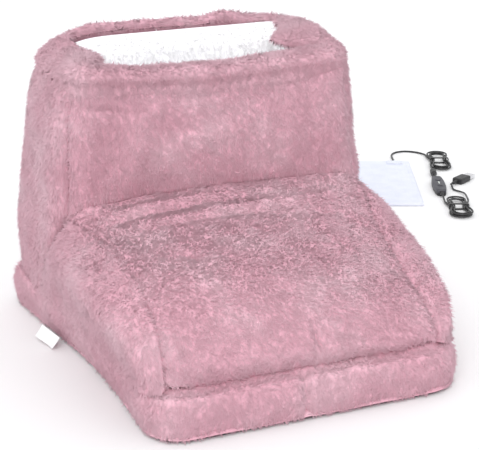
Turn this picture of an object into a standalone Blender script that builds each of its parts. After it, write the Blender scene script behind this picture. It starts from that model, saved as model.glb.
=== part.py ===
# Plush foot warmer with its USB heating pad, modelled in metres with +Z up.
# The boot stands on its sole at the origin, toe towards -Y and heel towards +Y.
# The pad set lies on the same floor behind the right side of the boot.
import bpy
import bmesh
import math
from mathutils import Matrix, Vector

# Clearances
GAP = 0.0003
OVERRUN = 0.0040

QUARTER_TURN = math.radians(90)

# Base cushion
BASE_HALF_WIDTH = 0.1600
BASE_HALF_LENGTH = 0.2000
BASE_REAR_FLARE = 0.0280
BASE_TOP = 0.0455
BASE_CORNER_RADIUS = 0.0380
BAND_WALL = 0.0220
BAND_BULGE = 0.0030
SOLE_THICKNESS = 0.0030
SOLE_INSET = 0.0060

# Pocket for the heating pad and its flap
POCKET_WIDTH = 0.1900
POCKET_HEIGHT = 0.0080
POCKET_CENTRE_Z = 0.0250
POCKET_FRONT_Y = -0.0100
FLAP_WIDTH = 0.2140
FLAP_HEIGHT = 0.0300
FLAP_THICKNESS = 0.0040
FLAP_TOP_Z = 0.0400
FLAP_ROUNDING = 0.0015

# Shaft of the boot
SHAFT_HALF_WIDTH = 0.1560
SHAFT_SIDE_FLARE = 0.0180
SHAFT_FRONT_Y = 0.0350
SHAFT_BACK_Y = 0.1900
SHAFT_BACK_FLARE = 0.0060
SHAFT_FRONT_RADIUS = 0.0360
SHAFT_BACK_RADIUS = 0.0480
WALL_THICKNESS = 0.0300
WALL_TOP = 0.2560
CREASE_Z = 0.1350
CREASE_ARCH = 0.0180
CREASE_DROP = 0.0200
SIDE_FOOT_Y = 0.1000
PANEL_BULGE = 0.0060

# Rim cuff
CUFF_HEIGHT = 0.0260
CUFF_FACING_DEPTH = 0.0060
CUFF_BULGE = 0.0020
RIM_BACK_RISE = 0.0050
RIM_FRONT_DIP = 0.0100

# Toe of the boot
TOE_HALF_WIDTH = 0.1360
TOE_FOOT_HALF_WIDTH = 0.1540
TOE_WALL = 0.0260
TOE_CROWN = 0.0120
TOE_TILT = 0.0140
TOE_BULGE = 0.0300
TOE_FRONT_Y = -0.1840
TOE_END_Z = 0.0530
TOE_END_DROP = 0.0062

# Footbed inside
FOOTBED_THICKNESS = 0.0100
FOOTBED_SIDE_GAP = 0.0050
FOOTBED_FRONT_GAP = 0.0080
FOOTBED_CORNER_STEPS = 5

# Layers of a wall, as shares of its thickness from the outside in
FUR_SHARES = (0.0, 0.44)
WADDING_SHARES = (0.46, 0.70)
LINING_SHARES = (0.72, 1.0)

# Care label sewn into the lower left edge of the base
LABEL_LENGTH = 0.0320
LABEL_DROP = 0.0150
LABEL_THICKNESS = 0.0008
LABEL_Y = 0.0620
LABEL_STANDOFF = 0.0014
LABEL_TILT = math.radians(32.0)

# Grid counts of the sewn panels
COUNT_ROUND = 8
COUNT_LOW = 4
COUNT_HIGH = 4
COUNT_TOE = 9

# Where the pad set lies: its frame is turned with the view of the photograph
SET_TURN = math.radians(-22.58)
SET_RIGHT = 0.0600
SET_AWAY = 0.4000

# Heating pad
PAD_SIZE = 0.1800
PAD_SHEET = 0.0008
PAD_CORE = 0.0018
PAD_EDGE = 0.0060
WIRE_DIAMETER = 0.0012
WIRE_RUNS = 9
WIRE_MARGIN = 0.0180
THERMOSTAT_RADIUS = 0.0050
THERMOSTAT_RUN = 7
THERMOSTAT_SHARE = 0.67
PATCH_WIDTH = 0.0220
PATCH_LENGTH = 0.0140
PATCH_THICKNESS = 0.0006
LEAD_X = 0.1600
PAD_RELIEF_LENGTH = 0.0100

# Cord
CORD_DIAMETER = 0.0024
COLUMN_X = 0.2080
HANK_RADIUS = 0.0150
HANK_STEP = 0.0041
HANK_LAYER = 0.0030
HANK_WAIST_SHARE = 0.30
HANK_WAIST_REACH = 0.0130
HANK_LIFT = 0.0030
HANK_1_TOP = 0.2190
HANK_1_LENGTH = 0.0770
HANK_2_TOP = 0.0240
HANK_2_LENGTH = 0.0760
TIE_WALL = 0.0009
TIE_WIDTH = 0.0040

# Connector pair between the two cords
CONNECTOR_TOP = 0.1370
CONNECTOR_RADIUS = 0.0042
CONNECTOR_SOCKET_LENGTH = 0.0120
CONNECTOR_PLUG_LENGTH = 0.0120
CONNECTOR_TAPER = 0.0060
CONNECTOR_NECK_SHARE = 1.3
CONNECTOR_SHOULDER_SHARE = 0.8

# Controller on the cord
CONTROLLER_LENGTH = 0.0580
CONTROLLER_WIDTH = 0.0170
CONTROLLER_HEIGHT = 0.0096
CONTROLLER_CENTRE_Y = 0.0670
CONTROLLER_WALL = 0.0012
CONTROLLER_END_SHARE = 0.30
CONTROLLER_SIDE_COUNT = 8
CONTROLLER_ROUNDING = 0.0022
CONTROLLER_RELIEF = 0.0080
BUTTON_RADIUS = 0.0036
BUTTON_HEIGHT = 0.0024
BUTTON_FLANGE = 0.0048
BUTTON_FLANGE_HEIGHT = 0.0006
BUTTON_TRAVEL = 0.0005
BUTTON_OFFSET = 0.0110
BUTTON_TOP_SHARE = 0.85
BUTTON_CLEARANCE = 0.0003
LAMP_WIDTH = 0.0018
LAMP_LENGTH = 0.0090
BOARD_THICKNESS = 0.0010

# Strain reliefs, as shares of the cord's radius and of the relief's own length
RELIEF_SHOULDER_SHARE = 0.35
RELIEF_TAPER_SHARE = 0.9
PAD_RELIEF_SHARES = (1.5, 1.1)
CONTROLLER_RELIEF_SHARES = (2.4, 1.4)
PLUG_RELIEF_SHARES = (2.2, 1.3)

# USB plug
PLUG_X = 0.2345
PLUG_Y = 0.0880
PLUG_TURN = math.radians(-40.0)
PLUG_BODY_LENGTH = 0.0240
PLUG_BODY_WIDTH = 0.0150
PLUG_BODY_HEIGHT = 0.0080
PLUG_SHELL_LENGTH = 0.0120
PLUG_SHELL_WIDTH = 0.0120
PLUG_SHELL_HEIGHT = 0.0045
PLUG_SHELL_WALL = 0.0004
PLUG_RELIEF_LENGTH = 0.0100


def clear_scene():
    for item in list(bpy.data.objects):
        bpy.data.objects.remove(item, do_unlink=True)
    for group in list(bpy.data.collections):
        bpy.data.collections.remove(group)


clear_scene()
PARTS = bpy.data.collections.new("foot_warmer")
CUTTERS = bpy.data.collections.new("cutters")
bpy.context.scene.collection.children.link(PARTS)
bpy.context.scene.collection.children.link(CUTTERS)

SET_FRAME = bpy.data.objects.new("pad_set_frame", None)
PARTS.objects.link(SET_FRAME)
SET_FRAME.rotation_euler = (0, 0, SET_TURN)
SET_FRAME.location = (
    SET_RIGHT * math.cos(-SET_TURN) + SET_AWAY * math.sin(-SET_TURN),
    -SET_RIGHT * math.sin(-SET_TURN) + SET_AWAY * math.cos(-SET_TURN),
    0,
)


# Materials
def make_material(name, colour, roughness, metallic=0.0):
    material = bpy.data.materials.new(name)
    material.use_nodes = True
    shader = material.node_tree.nodes["Principled BSDF"]
    shader.inputs["Base Color"].default_value = (*colour, 1.0)
    shader.inputs["Roughness"].default_value = roughness
    shader.inputs["Metallic"].default_value = metallic
    material.diffuse_color = (*colour, 1.0)
    return material


PINK = (0.62, 0.33, 0.38)
WHITE = (0.90, 0.90, 0.92)
FLEECE = (0.85, 0.85, 0.88)
BLACK = (0.020, 0.020, 0.022)
GREY = (0.08, 0.08, 0.09)


# Object helpers
def add_object(name, mesh, colour, roughness=0.9, metallic=0.0, parent=None):
    item = bpy.data.objects.new(name, mesh)
    PARTS.objects.link(item)
    mesh.materials.append(make_material(name + "_material", colour, roughness, metallic))
    if parent is not None:
        item.parent = parent
    return item


def mesh_from(bm, name):
    bmesh.ops.recalc_face_normals(bm, faces=bm.faces)
    if bm.calc_volume(signed=True) < 0:
        bmesh.ops.reverse_faces(bm, faces=bm.faces)
    mesh = bpy.data.meshes.new(name)
    bm.to_mesh(mesh)
    bm.free()
    return mesh


def block(name, counts, place, colour, roughness=0.95, parent=None):
    """A cube cut into counts pieces each way, each vertex then set by place(u, v, w).

    Every square is split from its low corner to its high one, so neighbours that share
    a seam or a face have the same facets there.
    """
    bm = bmesh.new()
    bmesh.ops.create_cube(bm, size=1)
    for axis, count in enumerate(counts):
        edges = [e for e in bm.edges if abs((e.verts[0].co - e.verts[1].co)[axis]) > 0.5]
        if count > 1:
            bmesh.ops.subdivide_edges(bm, edges=edges, cuts=count - 1, use_grid_fill=True)
    for face in bm.faces[:]:
        corners = sorted(face.verts, key=lambda vert: sum(vert.co))
        bmesh.utils.face_split(face, corners[0], corners[-1])
    for vert in bm.verts:
        u, v, w = (value + 0.5 for value in vert.co)
        vert.co = place(u, v, w)
    item = add_object(name, mesh_from(bm, name), colour, roughness, parent=parent)
    item.data.shade_smooth()
    item.data.set_sharp_from_angle(angle=math.radians(50))
    return item


def ring(name, around, across, place, colour, roughness=0.95, parent=None):
    """A closed band: place(t, s) gives its surface, both t and s running once round."""
    bm = bmesh.new()
    bmesh.ops.create_grid(bm, x_segments=around, y_segments=across, size=0.5)
    for vert in bm.verts:
        vert.co = place(vert.co.x + 0.5, vert.co.y + 0.5)
    bmesh.ops.remove_doubles(bm, verts=bm.verts, dist=GAP / 10)
    item = add_object(name, mesh_from(bm, name), colour, roughness, parent=parent)
    item.data.shade_smooth()
    item.data.set_sharp_from_angle(angle=math.radians(50))
    return item


def box(name, low, high, colour, roughness=0.6, metallic=0.0, rounding=0.0, parent=None):
    bm = bmesh.new()
    size = [b - a for a, b in zip(low, high)]
    centre = [(a + b) / 2 for a, b in zip(low, high)]
    bmesh.ops.create_cube(bm, size=1, matrix=Matrix.Diagonal((*size, 1)))
    item = add_object(name, mesh_from(bm, name), colour, roughness, metallic, parent)
    item.location = centre
    if rounding:
        bevel = item.modifiers.new("rounding", "BEVEL")
        bevel.width = rounding
        bevel.segments = 2
    return item


def make_cutter(item):
    PARTS.objects.unlink(item)
    CUTTERS.objects.link(item)
    item.hide_render = True
    item.display_type = "WIRE"
    return item


def cut(item, cutter):
    boolean = item.modifiers.new("cut", "BOOLEAN")
    boolean.operation = "DIFFERENCE"
    boolean.solver = "EXACT"
    boolean.object = cutter


def cutter_box(name, low, high, parent=None, rounding=0.0):
    return make_cutter(box(name, low, high, GREY, rounding=rounding, parent=parent))


def turned(name, profile, colour, roughness=0.6, metallic=0.0, steps=16, parent=None):
    """A profile of (radius, height) points, from the top axis point down to the lower one."""
    bm = bmesh.new()
    verts = [bm.verts.new((radius, 0, height)) for radius, height in profile]
    for first, second in zip(verts, verts[1:]):
        bm.edges.new((first, second))
    mesh = bpy.data.meshes.new(name)
    bm.to_mesh(mesh)
    bm.free()
    item = add_object(name, mesh, colour, roughness, metallic, parent)
    screw = item.modifiers.new("turn", "SCREW")
    screw.steps = steps
    screw.render_steps = steps
    screw.use_merge_vertices = True
    screw.merge_threshold = GAP / 10
    screw.use_smooth_shade = True
    return item


def tube(name, points, diameter, colour, roughness=0.45, resolution=2, parent=None):
    curve = bpy.data.curves.new(name, "CURVE")
    curve.dimensions = "3D"
    curve.bevel_depth = diameter / 2
    curve.bevel_resolution = resolution
    curve.use_fill_caps = True
    curve.twist_mode = "MINIMUM"
    spline = curve.splines.new("POLY")
    spline.points.add(len(points) - 1)
    for target, point in zip(spline.points, points):
        target.co = (*point, 1.0)
    item = bpy.data.objects.new(name, curve)
    PARTS.objects.link(item)
    curve.materials.append(make_material(name + "_material", colour, roughness))
    if parent is not None:
        item.parent = parent
    return item


def blend(low, high, share):
    return low + (high - low) * share


def ease(share):
    share = min(max(share, 0.0), 1.0)
    return share * share * (3 - 2 * share)


def swell(share):
    return math.sin(math.pi * min(max(share, 0.0), 1.0))


def inset(share, gap_share):
    return gap_share + share * (1 - 2 * gap_share)


# Shaft walls: four panels, counted anticlockwise from the front, meet at the middle of the corners
FRONT, RIGHT, BACK, LEFT = range(4)
ARC_SHARE = 0.25
ROW_SPLIT_SHARE = COUNT_LOW / (COUNT_LOW + COUNT_HIGH)
SEAM_SHARE = 0.0015
GUSSET_TOP_SHARE = 0.014
CORNER_SIGNS = ((-1, -1), (1, -1), (1, 1), (-1, 1))
EIGHTH_TURN = QUARTER_TURN / 2


def flare(z):
    """How far a height lies down the wall: 0 at the wall's top, 1 at its foot."""
    return (WALL_TOP - z) / (WALL_TOP - BASE_TOP)


def shaft_back_y(z):
    return SHAFT_BACK_Y + SHAFT_BACK_FLARE * flare(z)


def shaft_corner(index, z):
    sign_x, sign_y = CORNER_SIGNS[index % 4]
    radius = SHAFT_FRONT_RADIUS if sign_y < 0 else SHAFT_BACK_RADIUS
    x = sign_x * (SHAFT_HALF_WIDTH + SHAFT_SIDE_FLARE * flare(z) - radius)
    y = SHAFT_FRONT_Y + radius if sign_y < 0 else shaft_back_y(z) - radius
    return Vector((x, y)), radius


def shaft_point(panel, u, z, w, bulge=0.0):
    """Point on a panel: u runs along it anticlockwise, w from the outer face inwards."""
    facing = QUARTER_TURN * (panel - 1)
    start, start_radius = shaft_corner(panel, z)
    end, end_radius = shaft_corner(panel + 1, z)
    depth = w * WALL_THICKNESS - bulge * (1 - w)
    if u < ARC_SHARE:
        angle = facing - EIGHTH_TURN * (1 - u / ARC_SHARE)
        flat = start + (start_radius - depth) * Vector((math.cos(angle), math.sin(angle)))
    elif u > 1 - ARC_SHARE:
        angle = facing + EIGHTH_TURN * (u - 1 + ARC_SHARE) / ARC_SHARE
        flat = end + (end_radius - depth) * Vector((math.cos(angle), math.sin(angle)))
    else:
        outward = Vector((math.cos(facing), math.sin(facing)))
        share = (u - ARC_SHARE) / (1 - 2 * ARC_SHARE)
        flat = (start + (start_radius - depth) * outward).lerp(end + (end_radius - depth) * outward, share)
    return Vector((flat.x, flat.y, z))


def wall_top(panel, u):
    point = shaft_point(panel, u, WALL_TOP, 0)
    backward = ease((point.y - SHAFT_FRONT_Y) / (SHAFT_BACK_Y - SHAFT_FRONT_Y))
    across = swell((point.x + SHAFT_HALF_WIDTH) / (2 * SHAFT_HALF_WIDTH))
    return WALL_TOP + RIM_BACK_RISE * backward - RIM_FRONT_DIP * across * (1 - backward)


def crease_z(u, w):
    return CREASE_Z + CREASE_ARCH * swell(u) - CREASE_DROP * w


def foot_share():
    low_front = SHAFT_FRONT_Y + SHAFT_FRONT_RADIUS
    low_back = shaft_back_y(BASE_TOP) - SHAFT_BACK_RADIUS
    return ARC_SHARE + (1 - 2 * ARC_SHARE) * (SIDE_FOOT_Y - low_front) / (low_back - low_front)


def layer(shares, w):
    return blend(shares[0], shares[1], w)


def upper_z(panel, u, v, w, top_drop):
    return blend(crease_z(u if panel == FRONT else 0, w), wall_top(panel, u) - top_drop, v)


def front_panel_point(u, v, w, top_drop=0.0):
    z = upper_z(FRONT, u, v, w, top_drop)
    return shaft_point(FRONT, u, z, w, PANEL_BULGE * swell(u) * swell(v))


def side_panel_point(panel, u, v, w, top_drop=0.0):
    """u runs from the front edge backwards, v from the foot up; below the crease the edge leans back."""
    if v < ROW_SPLIT_SHARE:
        rise = v / ROW_SPLIT_SHARE
        along = blend(foot_share() * (1 - rise), 1, u)
        z = blend(BASE_TOP + GAP, crease_z(0, w), rise)
    else:
        along = u
        turned_u = u if panel == RIGHT else 1 - u
        z = upper_z(panel, turned_u, (v - ROW_SPLIT_SHARE) / (1 - ROW_SPLIT_SHARE), w, top_drop)
    along = along if panel == RIGHT else 1 - along
    return shaft_point(panel, along, z, w, PANEL_BULGE * swell(u) * swell(v))


def back_panel_point(u, v, w, top_drop=0.0):
    if v < ROW_SPLIT_SHARE:
        z = blend(BASE_TOP + GAP, crease_z(0, w), v / ROW_SPLIT_SHARE)
    else:
        z = upper_z(BACK, u, (v - ROW_SPLIT_SHARE) / (1 - ROW_SPLIT_SHARE), w, top_drop)
    return shaft_point(BACK, u, z, w, PANEL_BULGE * swell(u) * swell(v))


# Toe: a top panel between two side gussets, which share its two edge lines
TOE_BACK_HANDLE_Y = -0.0600
TOE_BACK_HANDLE_Z = 0.1280
TOE_FRONT_HANDLE_Z = 0.1080
TOE_FADE_SHARE = 0.35
TOE_TILT_POWER = 1.4
TOE_TILT_FADE_SHARE = 0.6
TOE_END_SHARE = 0.25
TOE_EDGE_RISE = 8
TOE_BULGE_HEIGHT_POWER = 1.5
TOE_BULGE_LENGTH_POWER = 0.7
TOE_BULGE_LIFT_SHARE = 0.25
TOE_BULGE_FADE_SHARE = 0.6


def toe_profile(s, w):
    """Height and depth of the toe's edge line at s, moved inwards by w of the wall."""
    handles = (
        Vector((SHAFT_FRONT_Y, CREASE_Z)),
        Vector((TOE_BACK_HANDLE_Y, TOE_BACK_HANDLE_Z)),
        Vector((TOE_FRONT_Y, TOE_FRONT_HANDLE_Z)),
        Vector((TOE_FRONT_Y, TOE_END_Z)),
    )
    r = 1 - s
    point = r**3 * handles[0] + 3 * r * r * s * handles[1] + 3 * r * s * s * handles[2] + s**3 * handles[3]
    along = r * r * (handles[1] - handles[0]) + 2 * r * s * (handles[2] - handles[1])
    along = (along + s * s * (handles[3] - handles[2])).normalized()
    outward = Vector((along.y, -along.x))
    return point - outward * TOE_WALL * w, outward


def toe_edge(side, s, w):
    flat, _ = toe_profile(s, w)
    tilt = -side * TOE_TILT * swell(s**TOE_TILT_POWER) * (1 - TOE_TILT_FADE_SHARE * w)
    own = Vector((side * (TOE_HALF_WIDTH - TOE_WALL * w), flat.x, flat.y + tilt))
    start, _ = toe_profile(0, w)
    own_start = Vector((side * (TOE_HALF_WIDTH - TOE_WALL * w), start.x, start.y))
    fade = max(0.0, 1 - s / TOE_FADE_SHARE) ** 2
    return own + fade * (shaft_seam(side, w) - own_start)


def shaft_seam(side, w):
    u = 0 if side < 0 else 1
    return shaft_point(FRONT, u, crease_z(u, w), w)


def toe_top_point(u, s, w):
    _, outward = toe_profile(s, w)
    point = toe_edge(-1, s, w).lerp(toe_edge(1, s, w), u)
    crown = TOE_CROWN * swell(u) * swell(s) * (1 - w)
    point += Vector((0, outward.x, outward.y)) * crown
    fade = max(0.0, 1 - s / TOE_FADE_SHARE) ** 2
    back = shaft_point(FRONT, u, crease_z(u, w), w)
    point += fade * (back - shaft_seam(-1, w).lerp(shaft_seam(1, w), u))
    settle = ease((s - 1 + TOE_END_SHARE) / TOE_END_SHARE) * min(1, TOE_EDGE_RISE * u * (1 - u))
    point.z -= TOE_END_DROP * settle
    return point


def gusset_point(side, s, v, w):
    panel = RIGHT if side > 0 else LEFT
    rear_foot = side_panel_point(panel, 0, 0, w)
    rear = side_panel_point(panel, 0, v * ROW_SPLIT_SHARE, w)
    edge = toe_edge(side, s, w)
    edge_start = toe_edge(side, 0, w)
    foot_x = blend(rear_foot.x, side * (TOE_FOOT_HALF_WIDTH - TOE_WALL * w), s)
    foot_y = edge.y + (rear_foot.y - edge_start.y) * (1 - s) ** 2
    foot = Vector((foot_x, foot_y, rear_foot.z))
    point = foot.lerp(edge, v) + (1 - s) ** 2 * (rear - rear_foot.lerp(edge_start, v))
    bulge = TOE_BULGE * swell(v**TOE_BULGE_HEIGHT_POWER) * swell(s**TOE_BULGE_LENGTH_POWER)
    bulge *= 1 - TOE_BULGE_FADE_SHARE * w
    return point + bulge * Vector((side, 0, TOE_BULGE_LIFT_SHARE))


# Base outline
BAND_EDGE = 0.0080
STRAIGHT_SHARE = 0.25


def base_widening(y):
    """The base widens towards the heel: how much wider it is at y than at the toe."""
    return 1 + BASE_REAR_FLARE / BASE_HALF_WIDTH * ((y / BASE_HALF_LENGTH + 1) / 2) ** 2


def base_outline(t, depth):
    """Point on the rounded outline of the base, t once round, moved inwards by depth."""
    point = even_outline(t, depth)
    point.x *= base_widening(point.y)
    return point


def even_outline(t, depth):
    half_width = BASE_HALF_WIDTH - BAND_BULGE - depth
    half_length = BASE_HALF_LENGTH - BAND_BULGE - depth
    radius = BASE_CORNER_RADIUS - depth
    quarter, local = divmod(t * 4, 1)
    quarter = int(quarter) % 4
    start = QUARTER_TURN * quarter
    signs = ((1, 1), (-1, 1), (-1, -1), (1, -1))[quarter]
    centre = Vector((signs[0] * (half_width - radius), signs[1] * (half_length - radius)))
    first = Vector((half_width * math.cos(start), half_length * math.sin(start)))
    last = Vector((-half_width * math.sin(start), half_length * math.cos(start)))
    turned_share = (local - STRAIGHT_SHARE) / (1 - 2 * STRAIGHT_SHARE)
    angle = start + QUARTER_TURN * min(max(turned_share, 0), 1)
    on_arc = centre + radius * Vector((math.cos(angle), math.sin(angle)))
    if turned_share < 0:
        return first.lerp(on_arc, local / STRAIGHT_SHARE)
    if turned_share > 1:
        return on_arc.lerp(last, 1 - (1 - local) / STRAIGHT_SHARE)
    return on_arc


def band_section():
    low = SOLE_THICKNESS + GAP
    return (
        (BAND_WALL, low),
        (BAND_EDGE, low),
        (0, low + BAND_EDGE),
        (-BAND_BULGE, (low + BASE_TOP) / 2),
        (0, BASE_TOP - BAND_EDGE),
        (BAND_EDGE, BASE_TOP),
        (BAND_WALL, BASE_TOP),
    )


def plate(name, outline, low, high, colour, roughness=0.9, parent=None):
    """A flat outline, given as points, raised into a closed plate between two heights."""
    bm = bmesh.new()
    bmesh.ops.create_circle(bm, cap_ends=True, radius=1, segments=len(outline))
    bm.verts.ensure_lookup_table()
    for vert, point in zip(bm.verts, outline):
        vert.co = (point[0], point[1], low)
    raised = bmesh.ops.extrude_face_region(bm, geom=bm.faces[:], use_keep_orig=True)
    for element in raised["geom"]:
        if isinstance(element, bmesh.types.BMVert):
            element.co.z = high
    return add_object(name, mesh_from(bm, name), colour, roughness, parent=parent)


def outline_points(count, depth):
    return [base_outline(i / count, depth) for i in range(count)]


OUTLINE_COUNT = 48


def make_base():
    section = band_section()

    def band_point(t, s):
        depth, z = section[round(s * len(section)) % len(section)]
        flat = base_outline(t, depth)
        return Vector((flat.x, flat.y, z))

    half = POCKET_WIDTH / 2
    pocket = cutter_box(
        "pocket_cutter",
        (-half, POCKET_FRONT_Y, POCKET_CENTRE_Z - POCKET_HEIGHT / 2),
        (half, BASE_HALF_LENGTH + OVERRUN, POCKET_CENTRE_Z + POCKET_HEIGHT / 2),
    )
    band = ring("base_fur_band", OUTLINE_COUNT, len(section), band_point, PINK)
    cut(band, pocket)
    foam = plate(
        "base_foam",
        outline_points(OUTLINE_COUNT, BAND_WALL + GAP),
        SOLE_THICKNESS + GAP,
        BASE_TOP,
        (0.85, 0.83, 0.75),
    )
    cut(foam, pocket)
    plate("sole_sheet", outline_points(OUTLINE_COUNT, SOLE_INSET), 0, SOLE_THICKNESS, (0.10, 0.10, 0.11))


def make_pocket_flap():
    face_y = BASE_HALF_LENGTH + GAP
    half = FLAP_WIDTH / 2
    axis_y = face_y + FLAP_THICKNESS / 2
    hinge = bpy.data.objects.new("pocket_flap_hinge", None)
    PARTS.objects.link(hinge)
    hinge.location = (0, axis_y, FLAP_TOP_Z)
    box(
        "pocket_flap",
        (-half, -FLAP_THICKNESS / 2, -FLAP_HEIGHT),
        (half, FLAP_THICKNESS / 2, 0),
        PINK,
        rounding=FLAP_ROUNDING,
        parent=hinge,
    )


def make_walls():
    seam = SEAM_SHARE
    layers = (
        ("fur", FUR_SHARES, PINK, 0.0),
        ("wadding", WADDING_SHARES, WHITE, 0.0),
        ("lining", LINING_SHARES, FLEECE, CUFF_FACING_DEPTH + 2 * GAP),
    )
    rows = COUNT_LOW + COUNT_HIGH
    gusset_share = 1 - GUSSET_TOP_SHARE
    for kind, shares, colour, drop in layers:
        block(
            "shaft_front_" + kind,
            (COUNT_ROUND, COUNT_HIGH, 1),
            lambda u, v, w: front_panel_point(inset(u, seam), inset(v, seam), layer(shares, w), drop),
            colour,
        )
        for panel, word in ((RIGHT, "right"), (LEFT, "left")):
            block(
                f"shaft_{word}_{kind}",
                (COUNT_ROUND, rows, 1),
                lambda u, v, w: side_panel_point(panel, inset(u, seam), v, layer(shares, w), drop),
                colour,
            )
        block(
            "shaft_back_" + kind,
            (COUNT_ROUND, rows, 1),
            lambda u, v, w: back_panel_point(inset(u, seam), v, layer(shares, w), drop),
            colour,
        )
        block(
            "toe_top_" + kind,
            (COUNT_ROUND, COUNT_TOE, 1),
            lambda u, s, w: toe_top_point(inset(u, 2 * seam), inset(s, seam), layer(shares, w)),
            colour,
        )
        for side, word in ((1, "right"), (-1, "left")):
            block(
                f"toe_{word}_{kind}",
                (COUNT_TOE, COUNT_LOW, 1),
                lambda s, v, w: gusset_point(side, inset(s, seam), v * gusset_share, layer(shares, w)),
                colour,
            )


# The cuff's rounded top, as (share of the wall from outside in, share of the cuff's height)
CUFF_ROUND_SHARES = ((0, 0.72), (0.22, 0.97), (0.55, 1.0), (0.88, 0.80), (1, 0.45))
CUFF_BULGE_SHARE = 0.35
CUFF_FACING_SHARE = 0.74


def cuff_section():
    """Points of (share of the wall, height over the wall's top) round the cuff."""
    round_top = [(share, CUFF_HEIGHT * height_share) for share, height_share in CUFF_ROUND_SHARES]
    return (
        (0, GAP),
        (-CUFF_BULGE / WALL_THICKNESS, CUFF_HEIGHT * CUFF_BULGE_SHARE),
        *round_top,
        (1, -CUFF_FACING_DEPTH),
        (CUFF_FACING_SHARE, -CUFF_FACING_DEPTH),
        (CUFF_FACING_SHARE, GAP),
    )


def make_cuff():
    section = cuff_section()

    def cuff_point(t, s):
        share, height = section[round(s * len(section)) % len(section)]
        panel, u = divmod(t * 4, 1)
        panel = int(panel) % 4
        return shaft_point(panel, u, wall_top(panel, u) + height, share)

    ring("rim_cuff", 4 * COUNT_ROUND, len(section), cuff_point, PINK)


def make_footbed():
    half = min(SHAFT_HALF_WIDTH - WALL_THICKNESS, TOE_FOOT_HALF_WIDTH - TOE_WALL) - FOOTBED_SIDE_GAP
    back = SHAFT_BACK_Y - WALL_THICKNESS
    front = TOE_FRONT_Y + TOE_WALL + FOOTBED_FRONT_GAP
    radius = SHAFT_BACK_RADIUS - WALL_THICKNESS
    outline = []
    for quarter, (sign_x, sign_y) in enumerate(((1, 1), (-1, 1), (-1, -1), (1, -1))):
        y = back - radius if sign_y > 0 else front + radius
        for step in range(FOOTBED_CORNER_STEPS + 1):
            angle = QUARTER_TURN * (quarter + step / FOOTBED_CORNER_STEPS)
            x = sign_x * (half - radius) + radius * math.cos(angle)
            outline.append((x, y + radius * math.sin(angle)))
    plate("footbed_plush", outline, BASE_TOP + GAP, BASE_TOP + GAP + FOOTBED_THICKNESS, FLEECE)


def make_label():
    reach = LABEL_DROP / 2
    item = box(
        "care_label",
        (-LABEL_THICKNESS / 2, -LABEL_LENGTH / 2, -reach),
        (LABEL_THICKNESS / 2, LABEL_LENGTH / 2, reach),
        WHITE,
    )
    lean = Matrix.Rotation(LABEL_TILT, 4, "Y")
    rear_y = LABEL_Y + LABEL_LENGTH / 2
    top_x = (BAND_BULGE - BASE_HALF_WIDTH) * base_widening(rear_y) - LABEL_STANDOFF
    centre = Vector((top_x - reach * math.sin(LABEL_TILT), LABEL_Y, reach))
    item.matrix_world = Matrix.Translation(centre) @ lean


make_base()
make_pocket_flap()
make_walls()
make_cuff()
make_footbed()
make_label()


# Cord routes
CORD_RADIUS = CORD_DIAMETER / 2
LOOP_COUNT = 24
RUN_COUNT = 5
HALF_LOOP = LOOP_COUNT // 2
ROUTE_STEPS = 4
LAYER_CHANGE_SHARE = 0.25
TIE_STEPS = 4
TIE_CORNERS = 4


def smooth_route(points, steps=ROUTE_STEPS):
    """Points on a smooth curve through a route's own points; the first and last runs stay straight."""
    route = [Vector(point) for point in points]
    result = [route[0]]
    for i in range(1, len(route) - 2):
        before, start, end, after = route[i - 1 : i + 3]
        for step in range(steps):
            t = step / steps
            result.append(
                0.5 * (2 * start + (end - before) * t + (2 * before - 5 * start + 4 * end - after) * t * t)
                + 0.5 * (3 * start - before - 3 * end + after) * t**3
            )
    return result + route[-2:]


def hank_shape(turns, run_half):
    """Loops that spiral in on the lower layer and out again on the upper one, drawn in at the waist."""
    turning = turns / 2
    points = []
    for i in range(round(turns * LOOP_COUNT) + 1):
        turn = i / LOOP_COUNT
        radius = HANK_RADIUS - HANK_STEP * (turning - abs(turn - turning))
        place = i % LOOP_COUNT
        side = -1 if place < HALF_LOOP else 1
        local = place % HALF_LOOP
        if local <= RUN_COUNT:
            x, y = side * radius, side * run_half * (2 * local / RUN_COUNT - 1)
        else:
            angle = math.pi * (local - RUN_COUNT) / (HALF_LOOP - RUN_COUNT)
            x, y = side * radius * math.cos(angle), side * (run_half + radius * math.sin(angle))
        x *= 1 - HANK_WAIST_SHARE * math.exp(-((y / HANK_WAIST_REACH) ** 2))
        change = (turn - turning + LAYER_CHANGE_SHARE) / (2 * LAYER_CHANGE_SHARE)
        z = HANK_LIFT + HANK_LAYER * ease(change)
        points.append(Vector((x, y, z)))
    return points


def least_gap(points):
    """Least clear distance of a tube to itself, measured on points along it."""
    steps = 4
    dense = [a.lerp(b, k / steps) for a, b in zip(points, points[1:]) for k in range(steps)]
    least = min((a - b).length for i, a in enumerate(dense) for b in dense[i + steps * steps :])
    return least - CORD_DIAMETER


def hank_run_half(length):
    return length / 2 - HANK_RADIUS - CORD_RADIUS


def placed_hank(turns, top, length):
    centre = Vector((COLUMN_X + HANK_RADIUS, top - length / 2, 0))
    return [centre + point for point in hank_shape(turns, hank_run_half(length))]


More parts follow.
